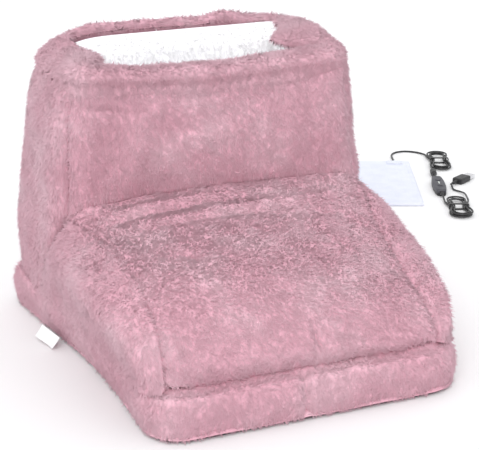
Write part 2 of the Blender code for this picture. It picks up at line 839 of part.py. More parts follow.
def tie_point(half_width, low, high):
    corner = TIE_WALL

    def place(t, s):
        section = ((0, -TIE_WIDTH), (TIE_WALL, -TIE_WIDTH), (TIE_WALL, TIE_WIDTH), (0, TIE_WIDTH))
        grow, y = section[round(s * TIE_CORNERS) % TIE_CORNERS]
        quarter, local = divmod(round(t * TIE_CORNERS * TIE_STEPS) / TIE_STEPS, 1)
        quarter = int(quarter) % TIE_CORNERS
        sign_x, sign_z = ((1, 1), (-1, 1), (-1, -1), (1, -1))[quarter]
        angle = QUARTER_TURN * (quarter + local)
        middle = (low + high) / 2
        x = sign_x * (half_width - corner) + (corner + grow) * math.cos(angle)
        z = middle + sign_z * ((high - low) / 2 - corner) + (corner + grow) * math.sin(angle)
        return Vector((x, y / 2, z))

    return place


HANK_1_TURNS = 3 + RUN_COUNT / LOOP_COUNT
HANK_2_TURNS = 3.5 + RUN_COUNT / LOOP_COUNT
PAD_TOP = 2 * PAD_SHEET + PAD_CORE
LEAD_Z = 0.0020
CONNECTOR_Z = 0.0046
CONTROLLER_MIDDLE = CONTROLLER_HEIGHT / 2
CONTROLLER_TOP_Y = CONTROLLER_CENTRE_Y + CONTROLLER_LENGTH / 2
CONTROLLER_LOW_Y = CONTROLLER_CENTRE_Y - CONTROLLER_LENGTH / 2
PLUG_MIDDLE = PLUG_BODY_HEIGHT / 2
STRAIGHT = 1.5 * CORD_DIAMETER

# Where the short straight stretches have their points
TAIL_SHARES = (0, 0.3, 0.7, 1)
TAIL_LEVEL_SHARE = 0.8

# Route points of the free stretches, chosen by hand in the pad set's frame
LEAD_ROUTE = (
    (0.1600, 0.2120, 0.0016),
    (0.1660, 0.2255, 0.0015),
    (0.1800, 0.2320, 0.0015),
    (0.1960, 0.2275, 0.0016),
    (0.2060, 0.2160, 0.0022),
)
PLUG_ROUTE = (
    (0.2375, 0.0330, 0.0052),
    (0.2350, 0.0480, 0.0028),
    (0.2270, 0.0610, 0.0018),
    (0.2260, 0.0740, 0.0030),
)


def make_pad():
    box("pad_sheet_bottom", (0, 0, 0), (PAD_SIZE, PAD_SIZE, PAD_SHEET), WHITE, parent=SET_FRAME)
    top_low = PAD_SHEET + PAD_CORE
    box("pad_sheet_top", (0, 0, top_low), (PAD_SIZE, PAD_SIZE, PAD_TOP), WHITE, parent=SET_FRAME)
    core_low = PAD_SHEET + GAP
    core_high = top_low - GAP
    frame = box("pad_edge_seam", (0, 0, core_low), (PAD_SIZE, PAD_SIZE, core_high), WHITE, parent=SET_FRAME)
    inner = PAD_SIZE - PAD_EDGE
    window = cutter_box(
        "pad_edge_cutter",
        (PAD_EDGE, PAD_EDGE, core_low - OVERRUN),
        (inner, inner, core_high + OVERRUN),
        parent=SET_FRAME,
    )
    cut(frame, window)
    pitch = (PAD_SIZE - 2 * WIRE_MARGIN) / (WIRE_RUNS - 1)
    middle = PAD_SHEET + PAD_CORE / 2
    low_y, high_y = WIRE_MARGIN + pitch / 2, PAD_SIZE - WIRE_MARGIN - pitch / 2
    route = []
    for run in range(WIRE_RUNS):
        x = WIRE_MARGIN + run * pitch
        upward = run % 2 == 0
        first, last = (low_y, high_y) if upward else (high_y, low_y)
        route += [(x, first, middle), (x, last, middle)]
        if run < WIRE_RUNS - 1:
            for step in (1, 2, 3):
                angle = math.pi * step / 4
                reach = pitch / 2 * math.sin(angle) * (1 if upward else -1)
                route.append((x + pitch / 2 * (1 - math.cos(angle)), last + reach, middle))
    tube("pad_heating_wire", route, WIRE_DIAMETER, (0.55, 0.2, 0.1), resolution=1, parent=SET_FRAME)
    thermostat = turned(
        "pad_thermostat",
        ((0, core_high), (THERMOSTAT_RADIUS, core_high), (THERMOSTAT_RADIUS, core_low), (0, core_low)),
        GREY,
        parent=SET_FRAME,
    )
    thermostat_x = WIRE_MARGIN + THERMOSTAT_RUN * pitch + pitch / 2
    thermostat.location = (thermostat_x, PAD_SIZE * THERMOSTAT_SHARE, 0)
    patch_low = PAD_TOP + GAP
    box(
        "pad_lead_patch",
        (LEAD_X - PATCH_WIDTH / 2, PAD_SIZE - PATCH_LENGTH, patch_low),
        (LEAD_X + PATCH_WIDTH / 2, PAD_SIZE, patch_low + PATCH_THICKNESS),
        WHITE,
        parent=SET_FRAME,
    )
    relief = make_relief("pad_lead_relief", PAD_RELIEF_SHARES, PAD_RELIEF_LENGTH, 1, SET_FRAME)
    relief.location = (LEAD_X, PAD_SIZE + GAP, LEAD_Z)


def make_relief(name, shares, length, way, parent):
    """A strain relief along the cord's line: wide where it is fixed, narrow where the cord leaves."""
    wide_share, neck_share = shares
    wide = CORD_RADIUS * wide_share
    shoulder = (wide * RELIEF_TAPER_SHARE, -length * RELIEF_SHOULDER_SHARE)
    outline = ((0, 0), (wide, 0), shoulder, (CORD_RADIUS * neck_share, -length), (0, -length))
    relief = turned(name, outline, BLACK, parent=parent)
    relief.rotation_euler = (way * QUARTER_TURN, 0, 0)
    return relief


def make_hank(name, turns, top, length, tail):
    points = placed_hank(turns, top, length) + [Vector(point) for point in tail]
    print(name, "least gap to itself", round(least_gap(points) * 1000, 2), "mm")
    tube(name, points, CORD_DIAMETER, BLACK, resolution=1, parent=SET_FRAME)
    run = HANK_RADIUS * (1 - HANK_WAIST_SHARE) + CORD_RADIUS + GAP
    low = HANK_LIFT - CORD_RADIUS - GAP
    high = HANK_LIFT + HANK_LAYER + CORD_RADIUS + GAP
    around = TIE_CORNERS * TIE_STEPS
    tie = ring(name + "_tie", around, TIE_CORNERS, tie_point(run, low, high), GREY, parent=SET_FRAME)
    tie.location = (COLUMN_X + HANK_RADIUS, top - length / 2, 0)


def make_cords():
    relief_end = PAD_SIZE + PAD_RELIEF_LENGTH + 2 * GAP
    hank_start = placed_hank(HANK_1_TURNS, HANK_1_TOP, HANK_1_LENGTH)[0]
    lead = [(LEAD_X, relief_end, LEAD_Z), (LEAD_X, relief_end + STRAIGHT, LEAD_Z), *LEAD_ROUTE]
    lead += [hank_start + Vector((0, STRAIGHT + GAP, 0)), hank_start + Vector((0, GAP, 0))]
    tube("pad_lead", smooth_route(lead), CORD_DIAMETER, BLACK, parent=SET_FRAME)
    hank_end = placed_hank(HANK_1_TURNS, HANK_1_TOP, HANK_1_LENGTH)[-1]
    drop = hank_end.y - CONNECTOR_TOP - GAP
    tail = [
        (COLUMN_X, hank_end.y - drop * share, blend(hank_end.z, CONNECTOR_Z, ease(share / TAIL_LEVEL_SHARE)))
        for share in TAIL_SHARES[1:]
    ]
    make_hank("cord_hank_1", HANK_1_TURNS, HANK_1_TOP, HANK_1_LENGTH, tail)
    connector_end = CONNECTOR_TOP - CONNECTOR_SOCKET_LENGTH - CONNECTOR_PLUG_LENGTH - 2 * GAP
    controller_end = CONTROLLER_TOP_Y + CONTROLLER_RELIEF + 2 * GAP
    link = [
        (COLUMN_X, blend(connector_end, controller_end, share), blend(CONNECTOR_Z, CONTROLLER_MIDDLE, share))
        for share in TAIL_SHARES
    ]
    tube("link_cord", link, CORD_DIAMETER, BLACK, parent=SET_FRAME)
    second = placed_hank(HANK_2_TURNS, HANK_2_TOP, HANK_2_LENGTH)
    low_end = CONTROLLER_LOW_Y - CONTROLLER_RELIEF - 2 * GAP
    first = second[0] + Vector((0, GAP, 0))
    joint = [
        (COLUMN_X, low_end, CONTROLLER_MIDDLE),
        (COLUMN_X, low_end - STRAIGHT, CONTROLLER_MIDDLE),
        first + Vector((0, STRAIGHT, 0)),
        first,
    ]
    tube("controller_cord", smooth_route(joint), CORD_DIAMETER, BLACK, parent=SET_FRAME)
    make_hank("cord_hank_2", HANK_2_TURNS, HANK_2_TOP, HANK_2_LENGTH, [])
    leave = second[-1] + Vector((0, GAP, 0))
    into = plug_point(0, -PLUG_RELIEF_LENGTH - GAP, PLUG_MIDDLE)
    before = plug_point(0, -PLUG_RELIEF_LENGTH - GAP - STRAIGHT, PLUG_MIDDLE)
    lead = [leave, leave + Vector((0, STRAIGHT, 0)), *PLUG_ROUTE, before, into]
    tube("plug_lead", smooth_route(lead), CORD_DIAMETER, BLACK, parent=SET_FRAME)


def plug_point(x, y, z):
    cosine, sine = math.cos(PLUG_TURN), math.sin(PLUG_TURN)
    return Vector((PLUG_X + x * cosine - y * sine, PLUG_Y + x * sine + y * cosine, z))


def make_connector():
    taper, radius = CONNECTOR_TAPER, CONNECTOR_RADIUS
    neck = CORD_RADIUS * CONNECTOR_NECK_SHARE
    shapes = (
        ("connector_socket", CONNECTOR_SOCKET_LENGTH, CONNECTOR_TOP, 1),
        ("connector_plug", CONNECTOR_PLUG_LENGTH, CONNECTOR_TOP - CONNECTOR_SOCKET_LENGTH - GAP, -1),
    )
    for name, length, top, way in shapes:
        shoulder = (radius * CONNECTOR_SHOULDER_SHARE, -taper * CONNECTOR_SHOULDER_SHARE)
        outline = [(0, 0), (neck, 0), shoulder, (radius, -taper), (radius, -length), (0, -length)]
        if way < 0:
            outline = [(r, -length - h) for r, h in reversed(outline)]
        piece = turned(name, outline, BLACK, parent=SET_FRAME)
        piece.rotation_euler = (-QUARTER_TURN, 0, 0)
        piece.location = (COLUMN_X, top, CONNECTOR_Z)


BUTTON_PLACES = (("heat", BUTTON_OFFSET), ("timer", -BUTTON_OFFSET))


def barrel_outline(inward):
    """Outline of the controller, widest at its middle, moved inwards by a wall or a gap."""
    half_width, half_length = CONTROLLER_WIDTH / 2 - inward, CONTROLLER_LENGTH / 2 - inward
    narrowing = CONTROLLER_WIDTH / 2 * CONTROLLER_END_SHARE
    side = []
    for step in range(CONTROLLER_SIDE_COUNT + 1):
        along = 2 * step / CONTROLLER_SIDE_COUNT - 1
        side.append((half_width - narrowing * along**2, half_length * along))
    return side + [(-x, y) for x, y in reversed(side)]


def make_controller():
    frame = bpy.data.objects.new("controller_frame", None)
    PARTS.objects.link(frame)
    frame.parent = SET_FRAME
    frame.location = (COLUMN_X, CONTROLLER_CENTRE_Y, 0)
    half_length = CONTROLLER_LENGTH / 2
    wall = CONTROLLER_WALL
    cavity = make_cutter(
        plate("controller_cavity", barrel_outline(wall), wall, CONTROLLER_HEIGHT - wall, GREY, parent=frame)
    )
    reach = half_length + OVERRUN
    for word, low, high in (
        ("lower", CONTROLLER_MIDDLE - GAP / 2, CONTROLLER_HEIGHT + OVERRUN),
        ("upper", -OVERRUN, CONTROLLER_MIDDLE + GAP / 2),
    ):
        colour = BLACK if word == "lower" else GREY
        name = f"controller_{word}_shell"
        shell = plate(name, barrel_outline(0), 0, CONTROLLER_HEIGHT, colour, parent=frame)
        rounding = shell.modifiers.new("rounding", "BEVEL")
        rounding.width = CONTROLLER_ROUNDING
        rounding.segments = 2
        away = cutter_box(f"controller_{word}_cutter", (-reach, -reach, low), (reach, reach, high), frame)
        cut(shell, away)
        cut(shell, cavity)
        if word == "upper":
            make_openings(shell, frame)
    board_low = CONTROLLER_MIDDLE - BOARD_THICKNESS / 2
    board_top = board_low + BOARD_THICKNESS
    board_outline = barrel_outline(wall + GAP)
    plate("controller_board", board_outline, board_low, board_top, (0.05, 0.25, 0.10), parent=frame)
    for word, y in BUTTON_PLACES:
        make_button(word, y, board_top, frame)
    for word, y, way in (("front", half_length + GAP, 1), ("back", -half_length - GAP, -1)):
        name = f"controller_relief_{word}"
        relief = make_relief(name, CONTROLLER_RELIEF_SHARES, CONTROLLER_RELIEF, way, frame)
        relief.location = (0, y, CONTROLLER_MIDDLE)


def make_openings(shell, frame):
    for sign in (1, -1):
        hole = turned(
            "button_hole",
            (
                (0, CONTROLLER_HEIGHT + OVERRUN),
                (BUTTON_RADIUS + BUTTON_CLEARANCE, CONTROLLER_HEIGHT + OVERRUN),
                (BUTTON_RADIUS + BUTTON_CLEARANCE, CONTROLLER_MIDDLE),
                (0, CONTROLLER_MIDDLE),
            ),
            GREY,
            parent=frame,
        )
        hole.location = (0, sign * BUTTON_OFFSET, 0)
        cut(shell, make_cutter(hole))
    half, reach = LAMP_WIDTH / 2, LAMP_LENGTH / 2
    low = CONTROLLER_HEIGHT - CONTROLLER_WALL
    slot_low = (-half - GAP, -reach - GAP, low - OVERRUN / 2)
    slot_high = (half + GAP, reach + GAP, low + OVERRUN)
    cut(shell, cutter_box("lamp_slot", slot_low, slot_high, frame))
    lamp_low, lamp_high = (-half, -reach, low), (half, reach, CONTROLLER_HEIGHT)
    box("status_lamp_strip", lamp_low, lamp_high, (0.2, 0.6, 0.2), parent=frame)


def make_button(word, y, board_top, frame):
    flange_top = CONTROLLER_HEIGHT - CONTROLLER_WALL - GAP
    flange_low = flange_top - BUTTON_FLANGE_HEIGHT
    axis = bpy.data.objects.new(f"button_{word}_axis", None)
    PARTS.objects.link(axis)
    axis.parent = frame
    axis.location = (0, y, flange_low)
    top = flange_top + BUTTON_HEIGHT - flange_low
    flange = flange_top - flange_low
    turned(
        f"button_{word}",
        (
            (0, top),
            (BUTTON_RADIUS * BUTTON_TOP_SHARE, top),
            (BUTTON_RADIUS, top - BUTTON_FLANGE_HEIGHT),
            (BUTTON_RADIUS, flange),
            (BUTTON_FLANGE, flange),
            (BUTTON_FLANGE, 0),
            (0, 0),
        ),
        GREY,
        parent=axis,
    )
    half = BUTTON_RADIUS / 2
    box(
        f"key_switch_{word}",
        (-half, y - half, board_top + GAP),
        (half, y + half, flange_low - BUTTON_TRAVEL - GAP),
        GREY,
        parent=frame,
    )


def make_plug():
    frame = bpy.data.objects.new("plug_frame", None)
    PARTS.objects.link(frame)
    frame.parent = SET_FRAME
    frame.rotation_euler = (0, 0, PLUG_TURN)
    frame.location = (PLUG_X, PLUG_Y, 0)
    half_width = PLUG_BODY_WIDTH / 2
    box(
        "usb_overmould",
        (-half_width, 0, 0),
        (half_width, PLUG_BODY_LENGTH, PLUG_BODY_HEIGHT),
        BLACK,
        rounding=CONTROLLER_ROUNDING,
        parent=frame,
    )
    relief = make_relief("usb_relief", PLUG_RELIEF_SHARES, PLUG_RELIEF_LENGTH, -1, frame)
    relief.location = (0, -GAP, PLUG_MIDDLE)
    start = PLUG_BODY_LENGTH + GAP
    end = start + PLUG_SHELL_LENGTH
    half = PLUG_SHELL_WIDTH / 2
    low, high = PLUG_MIDDLE - PLUG_SHELL_HEIGHT / 2, PLUG_MIDDLE + PLUG_SHELL_HEIGHT / 2
    shell = box("usb_shell", (-half, start, low), (half, end, high), (0.7, 0.7, 0.72), 0.3, 1.0, parent=frame)
    wall = PLUG_SHELL_WALL
    hollow = cutter_box(
        "usb_shell_cutter",
        (-half + wall, start - OVERRUN, low + wall),
        (half - wall, end + OVERRUN, high - wall),
        parent=frame,
    )
    cut(shell, hollow)
    tongue_top = PLUG_MIDDLE + PLUG_SHELL_WALL
    box(
        "usb_tongue",
        (-half + wall + GAP, start, low + wall + GAP),
        (half - wall - GAP, end - PLUG_SHELL_WALL, tongue_top),
        WHITE,
        parent=frame,
    )


make_pad()
make_cords()
make_connector()
make_controller()
make_plug()
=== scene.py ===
import math
from functools import partial

import bmesh
import bpy
import numpy as np
from mathutils import Matrix, Vector, noise


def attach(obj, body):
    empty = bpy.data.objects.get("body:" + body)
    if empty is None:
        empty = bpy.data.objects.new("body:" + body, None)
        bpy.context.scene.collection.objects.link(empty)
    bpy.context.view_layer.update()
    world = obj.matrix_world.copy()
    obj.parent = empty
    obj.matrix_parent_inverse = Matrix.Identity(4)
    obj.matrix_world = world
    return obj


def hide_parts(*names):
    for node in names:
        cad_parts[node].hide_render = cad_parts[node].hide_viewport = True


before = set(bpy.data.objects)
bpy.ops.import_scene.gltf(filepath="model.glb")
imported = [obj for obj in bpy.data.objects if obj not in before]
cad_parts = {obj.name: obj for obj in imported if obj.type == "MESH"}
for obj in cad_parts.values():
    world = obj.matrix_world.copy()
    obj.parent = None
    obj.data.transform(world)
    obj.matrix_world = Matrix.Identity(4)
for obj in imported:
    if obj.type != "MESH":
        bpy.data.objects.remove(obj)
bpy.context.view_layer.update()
# Blender's vector noise starts from the clock unless it has a seed
noise.seed_set(7)
ROOT = "boot_and_pad_set"

# Sizes of the solids that the dressed pieces follow
GAP = 0.0003
BASE_HALF_WIDTH, BASE_HALF_LENGTH, BASE_TOP = 0.1600, 0.2000, 0.0455
BASE_REAR_FLARE, BASE_CORNER_RADIUS = 0.0280, 0.0380
BAND_WALL, BAND_BULGE, BAND_EDGE = 0.0220, 0.0030, 0.0080
SOLE_THICKNESS, SOLE_INSET = 0.0030, 0.0060
POCKET_WIDTH, POCKET_HEIGHT, POCKET_CENTRE_Z, POCKET_FRONT_Y = 0.1900, 0.0080, 0.0250, -0.0100
FLAP_WIDTH, FLAP_HEIGHT, FLAP_THICKNESS, FLAP_TOP_Z = 0.2140, 0.0300, 0.0040, 0.0400
SHAFT_HALF_WIDTH, SHAFT_SIDE_FLARE = 0.1560, 0.0180
SHAFT_FRONT_Y, SHAFT_BACK_Y, SHAFT_BACK_FLARE = 0.0350, 0.1900, 0.0060
SHAFT_FRONT_RADIUS, SHAFT_BACK_RADIUS, WALL_THICKNESS, WALL_TOP = 0.0360, 0.0480, 0.0300, 0.2560
CREASE_Z, CREASE_ARCH, CREASE_DROP, SIDE_FOOT_Y, PANEL_BULGE = 0.1350, 0.0180, 0.0200, 0.1000, 0.0060
CUFF_HEIGHT = 0.0260
RIM_BACK_RISE, RIM_FRONT_DIP = 0.0050, 0.0100
TOE_HALF_WIDTH, TOE_FOOT_HALF_WIDTH, TOE_WALL = 0.1360, 0.1540, 0.0260
TOE_CROWN, TOE_TILT, TOE_BULGE, TOE_FRONT_Y = 0.0120, 0.0140, 0.0300, -0.1840
TOE_END_Z, TOE_END_DROP = 0.0530, 0.0062
FOOTBED_THICKNESS, FOOTBED_SIDE_GAP, FOOTBED_FRONT_GAP = 0.0100, 0.0050, 0.0080
FUR_SHARE, LINING_SHARE = 0.44, 0.72

# Pad set
SET_TURN, SET_RIGHT, SET_AWAY = math.radians(-22.58), 0.0600, 0.4000
PAD_SIZE, PAD_SHEET, PAD_CORE, LEAD_X, PAD_RELIEF_LENGTH = 0.1800, 0.0008, 0.0018, 0.1600, 0.0100
CORD_DIAMETER, COLUMN_X, HANK_RADIUS, HANK_STEP, HANK_LAYER = 0.0024, 0.2080, 0.0150, 0.0041, 0.0030
HANK_WAIST_SHARE, HANK_WAIST_REACH, HANK_LIFT = 0.30, 0.0130, 0.0030
HANK_1_TOP, HANK_1_LENGTH, HANK_2_TOP, HANK_2_LENGTH = 0.2190, 0.0770, 0.0240, 0.0760
CONNECTOR_TOP, CONNECTOR_LENGTH, CONNECTOR_Z = 0.1370, 0.0120, 0.0046
CONTROLLER_LENGTH, CONTROLLER_HEIGHT, CONTROLLER_CENTRE_Y, CONTROLLER_RELIEF = 0.0580, 0.0096, 0.0670, 0.0080
PLUG_X, PLUG_Y, PLUG_TURN = 0.2345, 0.0880, math.radians(-40.0)
PLUG_BODY_HEIGHT, PLUG_RELIEF_LENGTH = 0.0080, 0.0100
QUARTER_TURN = math.radians(90)

# Camera of the photograph
CAMERA_PLACE = (-0.51125, -1.24377, 0.60933)
CAMERA_TURN = (math.radians(70), 0, math.radians(-22.58))
CAMERA_LENS, CAMERA_SENSOR = 108.98, 36


def make_camera():
    data = bpy.data.cameras.new("camera")
    data.lens, data.sensor_width, data.sensor_fit = CAMERA_LENS, CAMERA_SENSOR, "HORIZONTAL"
    data.clip_start, data.clip_end = 0.05, 50
    camera = bpy.data.objects.new("camera", data)
    camera.location, camera.rotation_euler = CAMERA_PLACE, CAMERA_TURN
    bpy.context.scene.collection.objects.link(camera)
    bpy.context.scene.camera = camera


# Node helpers
def set_inputs(tree, node, inputs):
    for key, value in inputs.items():
        if isinstance(value, bpy.types.NodeSocket):
            tree.links.new(value, node.inputs[key])
        else:
            node.inputs[key].default_value = value


def add_node(tree, kind, inputs=None, **settings):
    made = tree.nodes.new("ShaderNode" + kind)
    for key, value in settings.items():
        setattr(made, key, value)
    set_inputs(tree, made, inputs or {})
    return made


class Graph:
    """A short way to write a material's nodes."""

    def __init__(self, name):
        self.material = bpy.data.materials.new(name)
        self.material.use_nodes = True
        self.tree = self.material.node_tree
        self.shader = self.tree.nodes["Principled BSDF"]
        self.place = self.node("TexCoord").outputs["Object"]

    def node(self, kind, inputs=None, **settings):
        return add_node(self.tree, kind, inputs, **settings)

    def noise(self, scale, detail=2.0):
        return self.node("TexNoise", {"Vector": self.place, "Scale": scale, "Detail": detail}).outputs[0]

    def mix(self, factor, low, high):
        ends = [value if isinstance(value, bpy.types.NodeSocket) else (*value, 1.0) for value in (low, high)]
        return self.node("Mix", {"Factor": factor, 6: ends[0], 7: ends[1]}, data_type="RGBA").outputs[2]

    def spread(self, value, low, high, to_low=0.0, to_high=1.0):
        inputs = {"Value": value, "From Min": low, "From Max": high, "To Min": to_low, "To Max": to_high}
        return self.node("MapRange", inputs).outputs[0]

    def bump(self, height, strength, distance):
        made = self.node("Bump", {"Height": height, "Strength": strength, "Distance": distance})
        self.set(Normal=made.outputs[0])

    def set(self, **values):
        set_inputs(self.tree, self.shader, {key.replace("_", " "): value for key, value in values.items()})


def plush(name, root, tip, pale, sheen=0.25, painted_glow=0.0):
    """Pile fabric: darker at the roots, paler at the tips and in patches, with painted shade that darkens it
    towards the floor.

    Its emission is painted light in the pale colour, which brightens the pile where it lies in shade.
    """
    g = Graph(name)
    pile = g.node("Attribute", attribute_name="pile").outputs["Fac"]
    patch = g.noise(17, 3)
    colour = g.mix(g.spread(patch, 0.34, 0.50, 0.45, 0), g.mix(pile, root, tip), root)
    colour = g.mix(g.spread(patch, 0.50, 0.66, 0, 0.35), colour, pale)
    # Painted shade: low down the colour is drawn towards the root colour, by a share of 0.3 up to 3 cm over
    # the floor, fading to none at 10 cm
    low = g.spread(g.node("SeparateXYZ", {"Vector": g.place}).outputs["Z"], 0.03, 0.10, 0.3, 0)
    colour = g.mix(low, colour, root)
    g.set(Base_Color=colour, Roughness=0.85, Sheen_Weight=sheen, Sheen_Roughness=0.5)
    g.set(Sheen_Tint=(*pale, 1.0), Specular_IOR_Level=0.15)
    # Painted light: the emission lights the pile in its pale colour, though it is no lamp
    g.set(Emission_Color=(*pale, 1.0), Emission_Strength=painted_glow)
    g.bump(g.noise(420, 3), 0.5, 0.0015)
    return g.material


def cloth(name, low, high, weave, roughness=0.9, strength=0.35, sheen=0.1):
    g = Graph(name)
    threads = g.node("TexVoronoi", {"Vector": g.place, "Scale": weave}).outputs["Distance"]
    colour = g.mix(g.spread(g.noise(60, 3), 0.3, 0.7), low, high)
    g.set(Base_Color=colour, Roughness=roughness, Sheen_Weight=sheen)
    g.bump(threads, strength, 0.0004)
    return g.material


def moulded(name, low, high, roughness, grain=900, strength=0.25, metallic=0.0, coat=0.0):
    g = Graph(name)
    colour = g.mix(g.spread(g.noise(140, 2), 0.35, 0.65), low, high)
    rough = g.spread(g.noise(260, 2), 0.3, 0.7, roughness * 0.85, min(1, roughness * 1.15))
    g.set(Base_Color=colour, Roughness=rough, Metallic=metallic, Coat_Weight=coat)
    g.bump(g.noise(grain, 2), strength, 0.0002)
    return g.material


PINK_ROOT, PINK_TIP, PINK_PALE = (0.72, 0.39, 0.47), (0.85, 0.575, 0.645), (0.92, 0.69, 0.75)
FUR = plush("pink_plush", PINK_ROOT, PINK_TIP, PINK_PALE)
# The rim's pink is the plush's made a little darker: painted shade that holds down the extra light the
# upturned roll catches
RIM = plush("pink_velour", (0.66, 0.365, 0.435), (0.79, 0.53, 0.595), (0.85, 0.62, 0.68), 0.2)
# The white lining gives off a little light: painted light that lifts it where it lies in shade inside the
# opening
LINING = plush("white_plush", (0.94, 0.94, 0.96), (0.97, 0.97, 0.98), (0.98, 0.98, 0.99), 0.2, 0.2)
WADDING = cloth("polyester_wadding", (0.86, 0.86, 0.86), (0.94, 0.94, 0.94), 900)
FOAM = cloth("cushion_foam", (0.80, 0.77, 0.66), (0.88, 0.86, 0.78), 700)
SOLE = cloth("sole_fabric", (0.045, 0.042, 0.045), (0.075, 0.07, 0.072), 500)
TAPE = cloth("label_tape", (0.84, 0.84, 0.84), (0.93, 0.93, 0.93), 1800)
THREAD = cloth("sewing_thread", (0.70, 0.73, 0.84), (0.78, 0.81, 0.90), 2600, strength=0.2)
PAD_CLOTH = cloth("pad_cloth", (0.74, 0.77, 0.88), (0.80, 0.83, 0.93), 1500)
CORD = moulded("cord_jacket", (0.012, 0.012, 0.013), (0.022, 0.022, 0.024), 0.38)
BLACK = moulded("black_plastic", (0.012, 0.012, 0.013), (0.024, 0.024, 0.026), 0.42)
GREY = moulded("grey_plastic", (0.050, 0.050, 0.060), (0.072, 0.072, 0.085), 0.5)
BOARD = moulded("circuit_board", (0.02, 0.13, 0.05), (0.03, 0.20, 0.08), 0.4)
LAMP = moulded("lamp_diffuser", (0.55, 0.60, 0.56), (0.68, 0.72, 0.68), 0.25)
METAL = moulded("plug_metal", (0.62, 0.62, 0.64), (0.74, 0.74, 0.76), 0.28, 400, 0.1, 1.0)
WIRE = moulded("heating_wire", (0.35, 0.08, 0.04), (0.48, 0.13, 0.07), 0.5)
TONGUE = moulded("plug_tongue", (0.80, 0.80, 0.80), (0.88, 0.88, 0.88), 0.4)


# Mesh helpers
def add_piece(name, data, material, *nodes, body=ROOT, smooth=True):
    """A mesh or a curve as a piece that rides on a body and stands for nodes of the solids."""
    piece = bpy.data.objects.new(name, data)
    bpy.context.scene.collection.objects.link(piece)
    data.materials.append(material)
    if smooth:
        data.shade_smooth()
    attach(piece, body)
    if nodes:
        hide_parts(*nodes)
    return piece


def mesh_of(name, points, faces):
    """A mesh of faces that all have as many corners, from arrays."""
    points, faces = np.asarray(points, dtype=np.float32), np.asarray(faces, dtype=np.int32)
    mesh = bpy.data.meshes.new(name)
    mesh.vertices.add(len(points))
    mesh.vertices.foreach_set("co", points.ravel())
    mesh.loops.add(faces.size)
    mesh.loops.foreach_set("vertex_index", faces.ravel())
    mesh.polygons.add(len(faces))
    mesh.polygons.foreach_set("loop_start", np.arange(0, faces.size, faces.shape[1], dtype=np.int32))
    mesh.update(calc_edges=True)
    mesh.validate()
    return mesh


def set_pile(mesh, values):
    """How far out in the pile each point stands, from 0 at the root to 1: one value or one a point."""
    attribute = mesh.attributes.new("pile", "FLOAT", "POINT")
    attribute.data.foreach_set("value", np.full(len(mesh.vertices), values, dtype=np.float32))


def grid_of(place, us, vs, w):
    return np.array([[place(float(u), float(v), w) for v in vs] for u in us])


def grid_normals(points):
    along, up = np.gradient(points, axis=0), np.gradient(points, axis=1)
    normals = np.cross(along, up)
    return normals / np.maximum(np.linalg.norm(normals, axis=2, keepdims=True), 1e-12)


def shell_mesh(name, outer, inner):
    """A closed shell between an outer and an inner grid of the same size."""
    columns, rows = outer.shape[0] - 1, outer.shape[1] - 1
    index = np.arange((columns + 1) * (rows + 1)).reshape(columns + 1, rows + 1)
    quads = np.stack([index[:-1, :-1], index[1:, :-1], index[1:, 1:], index[:-1, 1:]], axis=-1)
    quads = quads.reshape(-1, 4)
    offset = index.size
    rim = np.concatenate([index[:, 0], index[-1, 1:], index[-2::-1, -1], index[0, -2::-1]])[:-1]
    after = np.roll(rim, -1)
    sides = np.stack([rim + offset, after + offset, after, rim], axis=-1)
    faces = np.concatenate([quads, quads[:, ::-1] + offset, sides])
    return mesh_of(name, np.concatenate([outer.reshape(-1, 3), inner.reshape(-1, 3)]), faces)


# The walls' surfaces, as in the solids
FRONT, RIGHT, BACK, LEFT = range(4)
ARC_SHARE, ROW_SPLIT_SHARE = 0.25, 0.5
CORNER_SIGNS = ((-1, -1), (1, -1), (1, 1), (-1, 1))
TOE_BACK_HANDLE_Y, TOE_BACK_HANDLE_Z, TOE_FRONT_HANDLE_Z = -0.0600, 0.1280, 0.1080
TOE_FADE_SHARE, TOE_TILT_POWER, TOE_TILT_FADE_SHARE, TOE_END_SHARE, TOE_EDGE_RISE = 0.35, 1.4, 0.6, 0.25, 8
TOE_BULGE_HEIGHT_POWER, TOE_BULGE_LENGTH_POWER = 1.5, 0.7
TOE_BULGE_LIFT_SHARE, TOE_BULGE_FADE_SHARE = 0.25, 0.6


def blend(low, high, share):
    return low + (high - low) * share


def ease(share):
    share = min(max(share, 0.0), 1.0)
    return share * share * (3 - 2 * share)


def swell(share):
    return math.sin(math.pi * min(max(share, 0.0), 1.0))


def flare(z):
    return (WALL_TOP - z) / (WALL_TOP - BASE_TOP)


def shaft_back_y(z):
    return SHAFT_BACK_Y + SHAFT_BACK_FLARE * flare(z)


def shaft_corner(index, z):
    sign_x, sign_y = CORNER_SIGNS[index % 4]
    radius = SHAFT_FRONT_RADIUS if sign_y < 0 else SHAFT_BACK_RADIUS
    x = sign_x * (SHAFT_HALF_WIDTH + SHAFT_SIDE_FLARE * flare(z) - radius)
    y = SHAFT_FRONT_Y + radius if sign_y < 0 else shaft_back_y(z) - radius
    return Vector((x, y)), radius


def shaft_point(panel, u, z, w, bulge=0.0):
    facing = QUARTER_TURN * (panel - 1)
    start, start_radius = shaft_corner(panel, z)
    end, end_radius = shaft_corner(panel + 1, z)
    depth = w * WALL_THICKNESS - bulge * (1 - w)
    if u < ARC_SHARE:
        angle = facing - QUARTER_TURN / 2 * (1 - u / ARC_SHARE)
        flat = start + (start_radius - depth) * Vector((math.cos(angle), math.sin(angle)))
    elif u > 1 - ARC_SHARE:
        angle = facing + QUARTER_TURN / 2 * (u - 1 + ARC_SHARE) / ARC_SHARE
        flat = end + (end_radius - depth) * Vector((math.cos(angle), math.sin(angle)))
    else:
        outward = Vector((math.cos(facing), math.sin(facing)))
        share = (u - ARC_SHARE) / (1 - 2 * ARC_SHARE)
        flat = (start + (start_radius - depth) * outward).lerp(end + (end_radius - depth) * outward, share)
    return Vector((flat.x, flat.y, z))


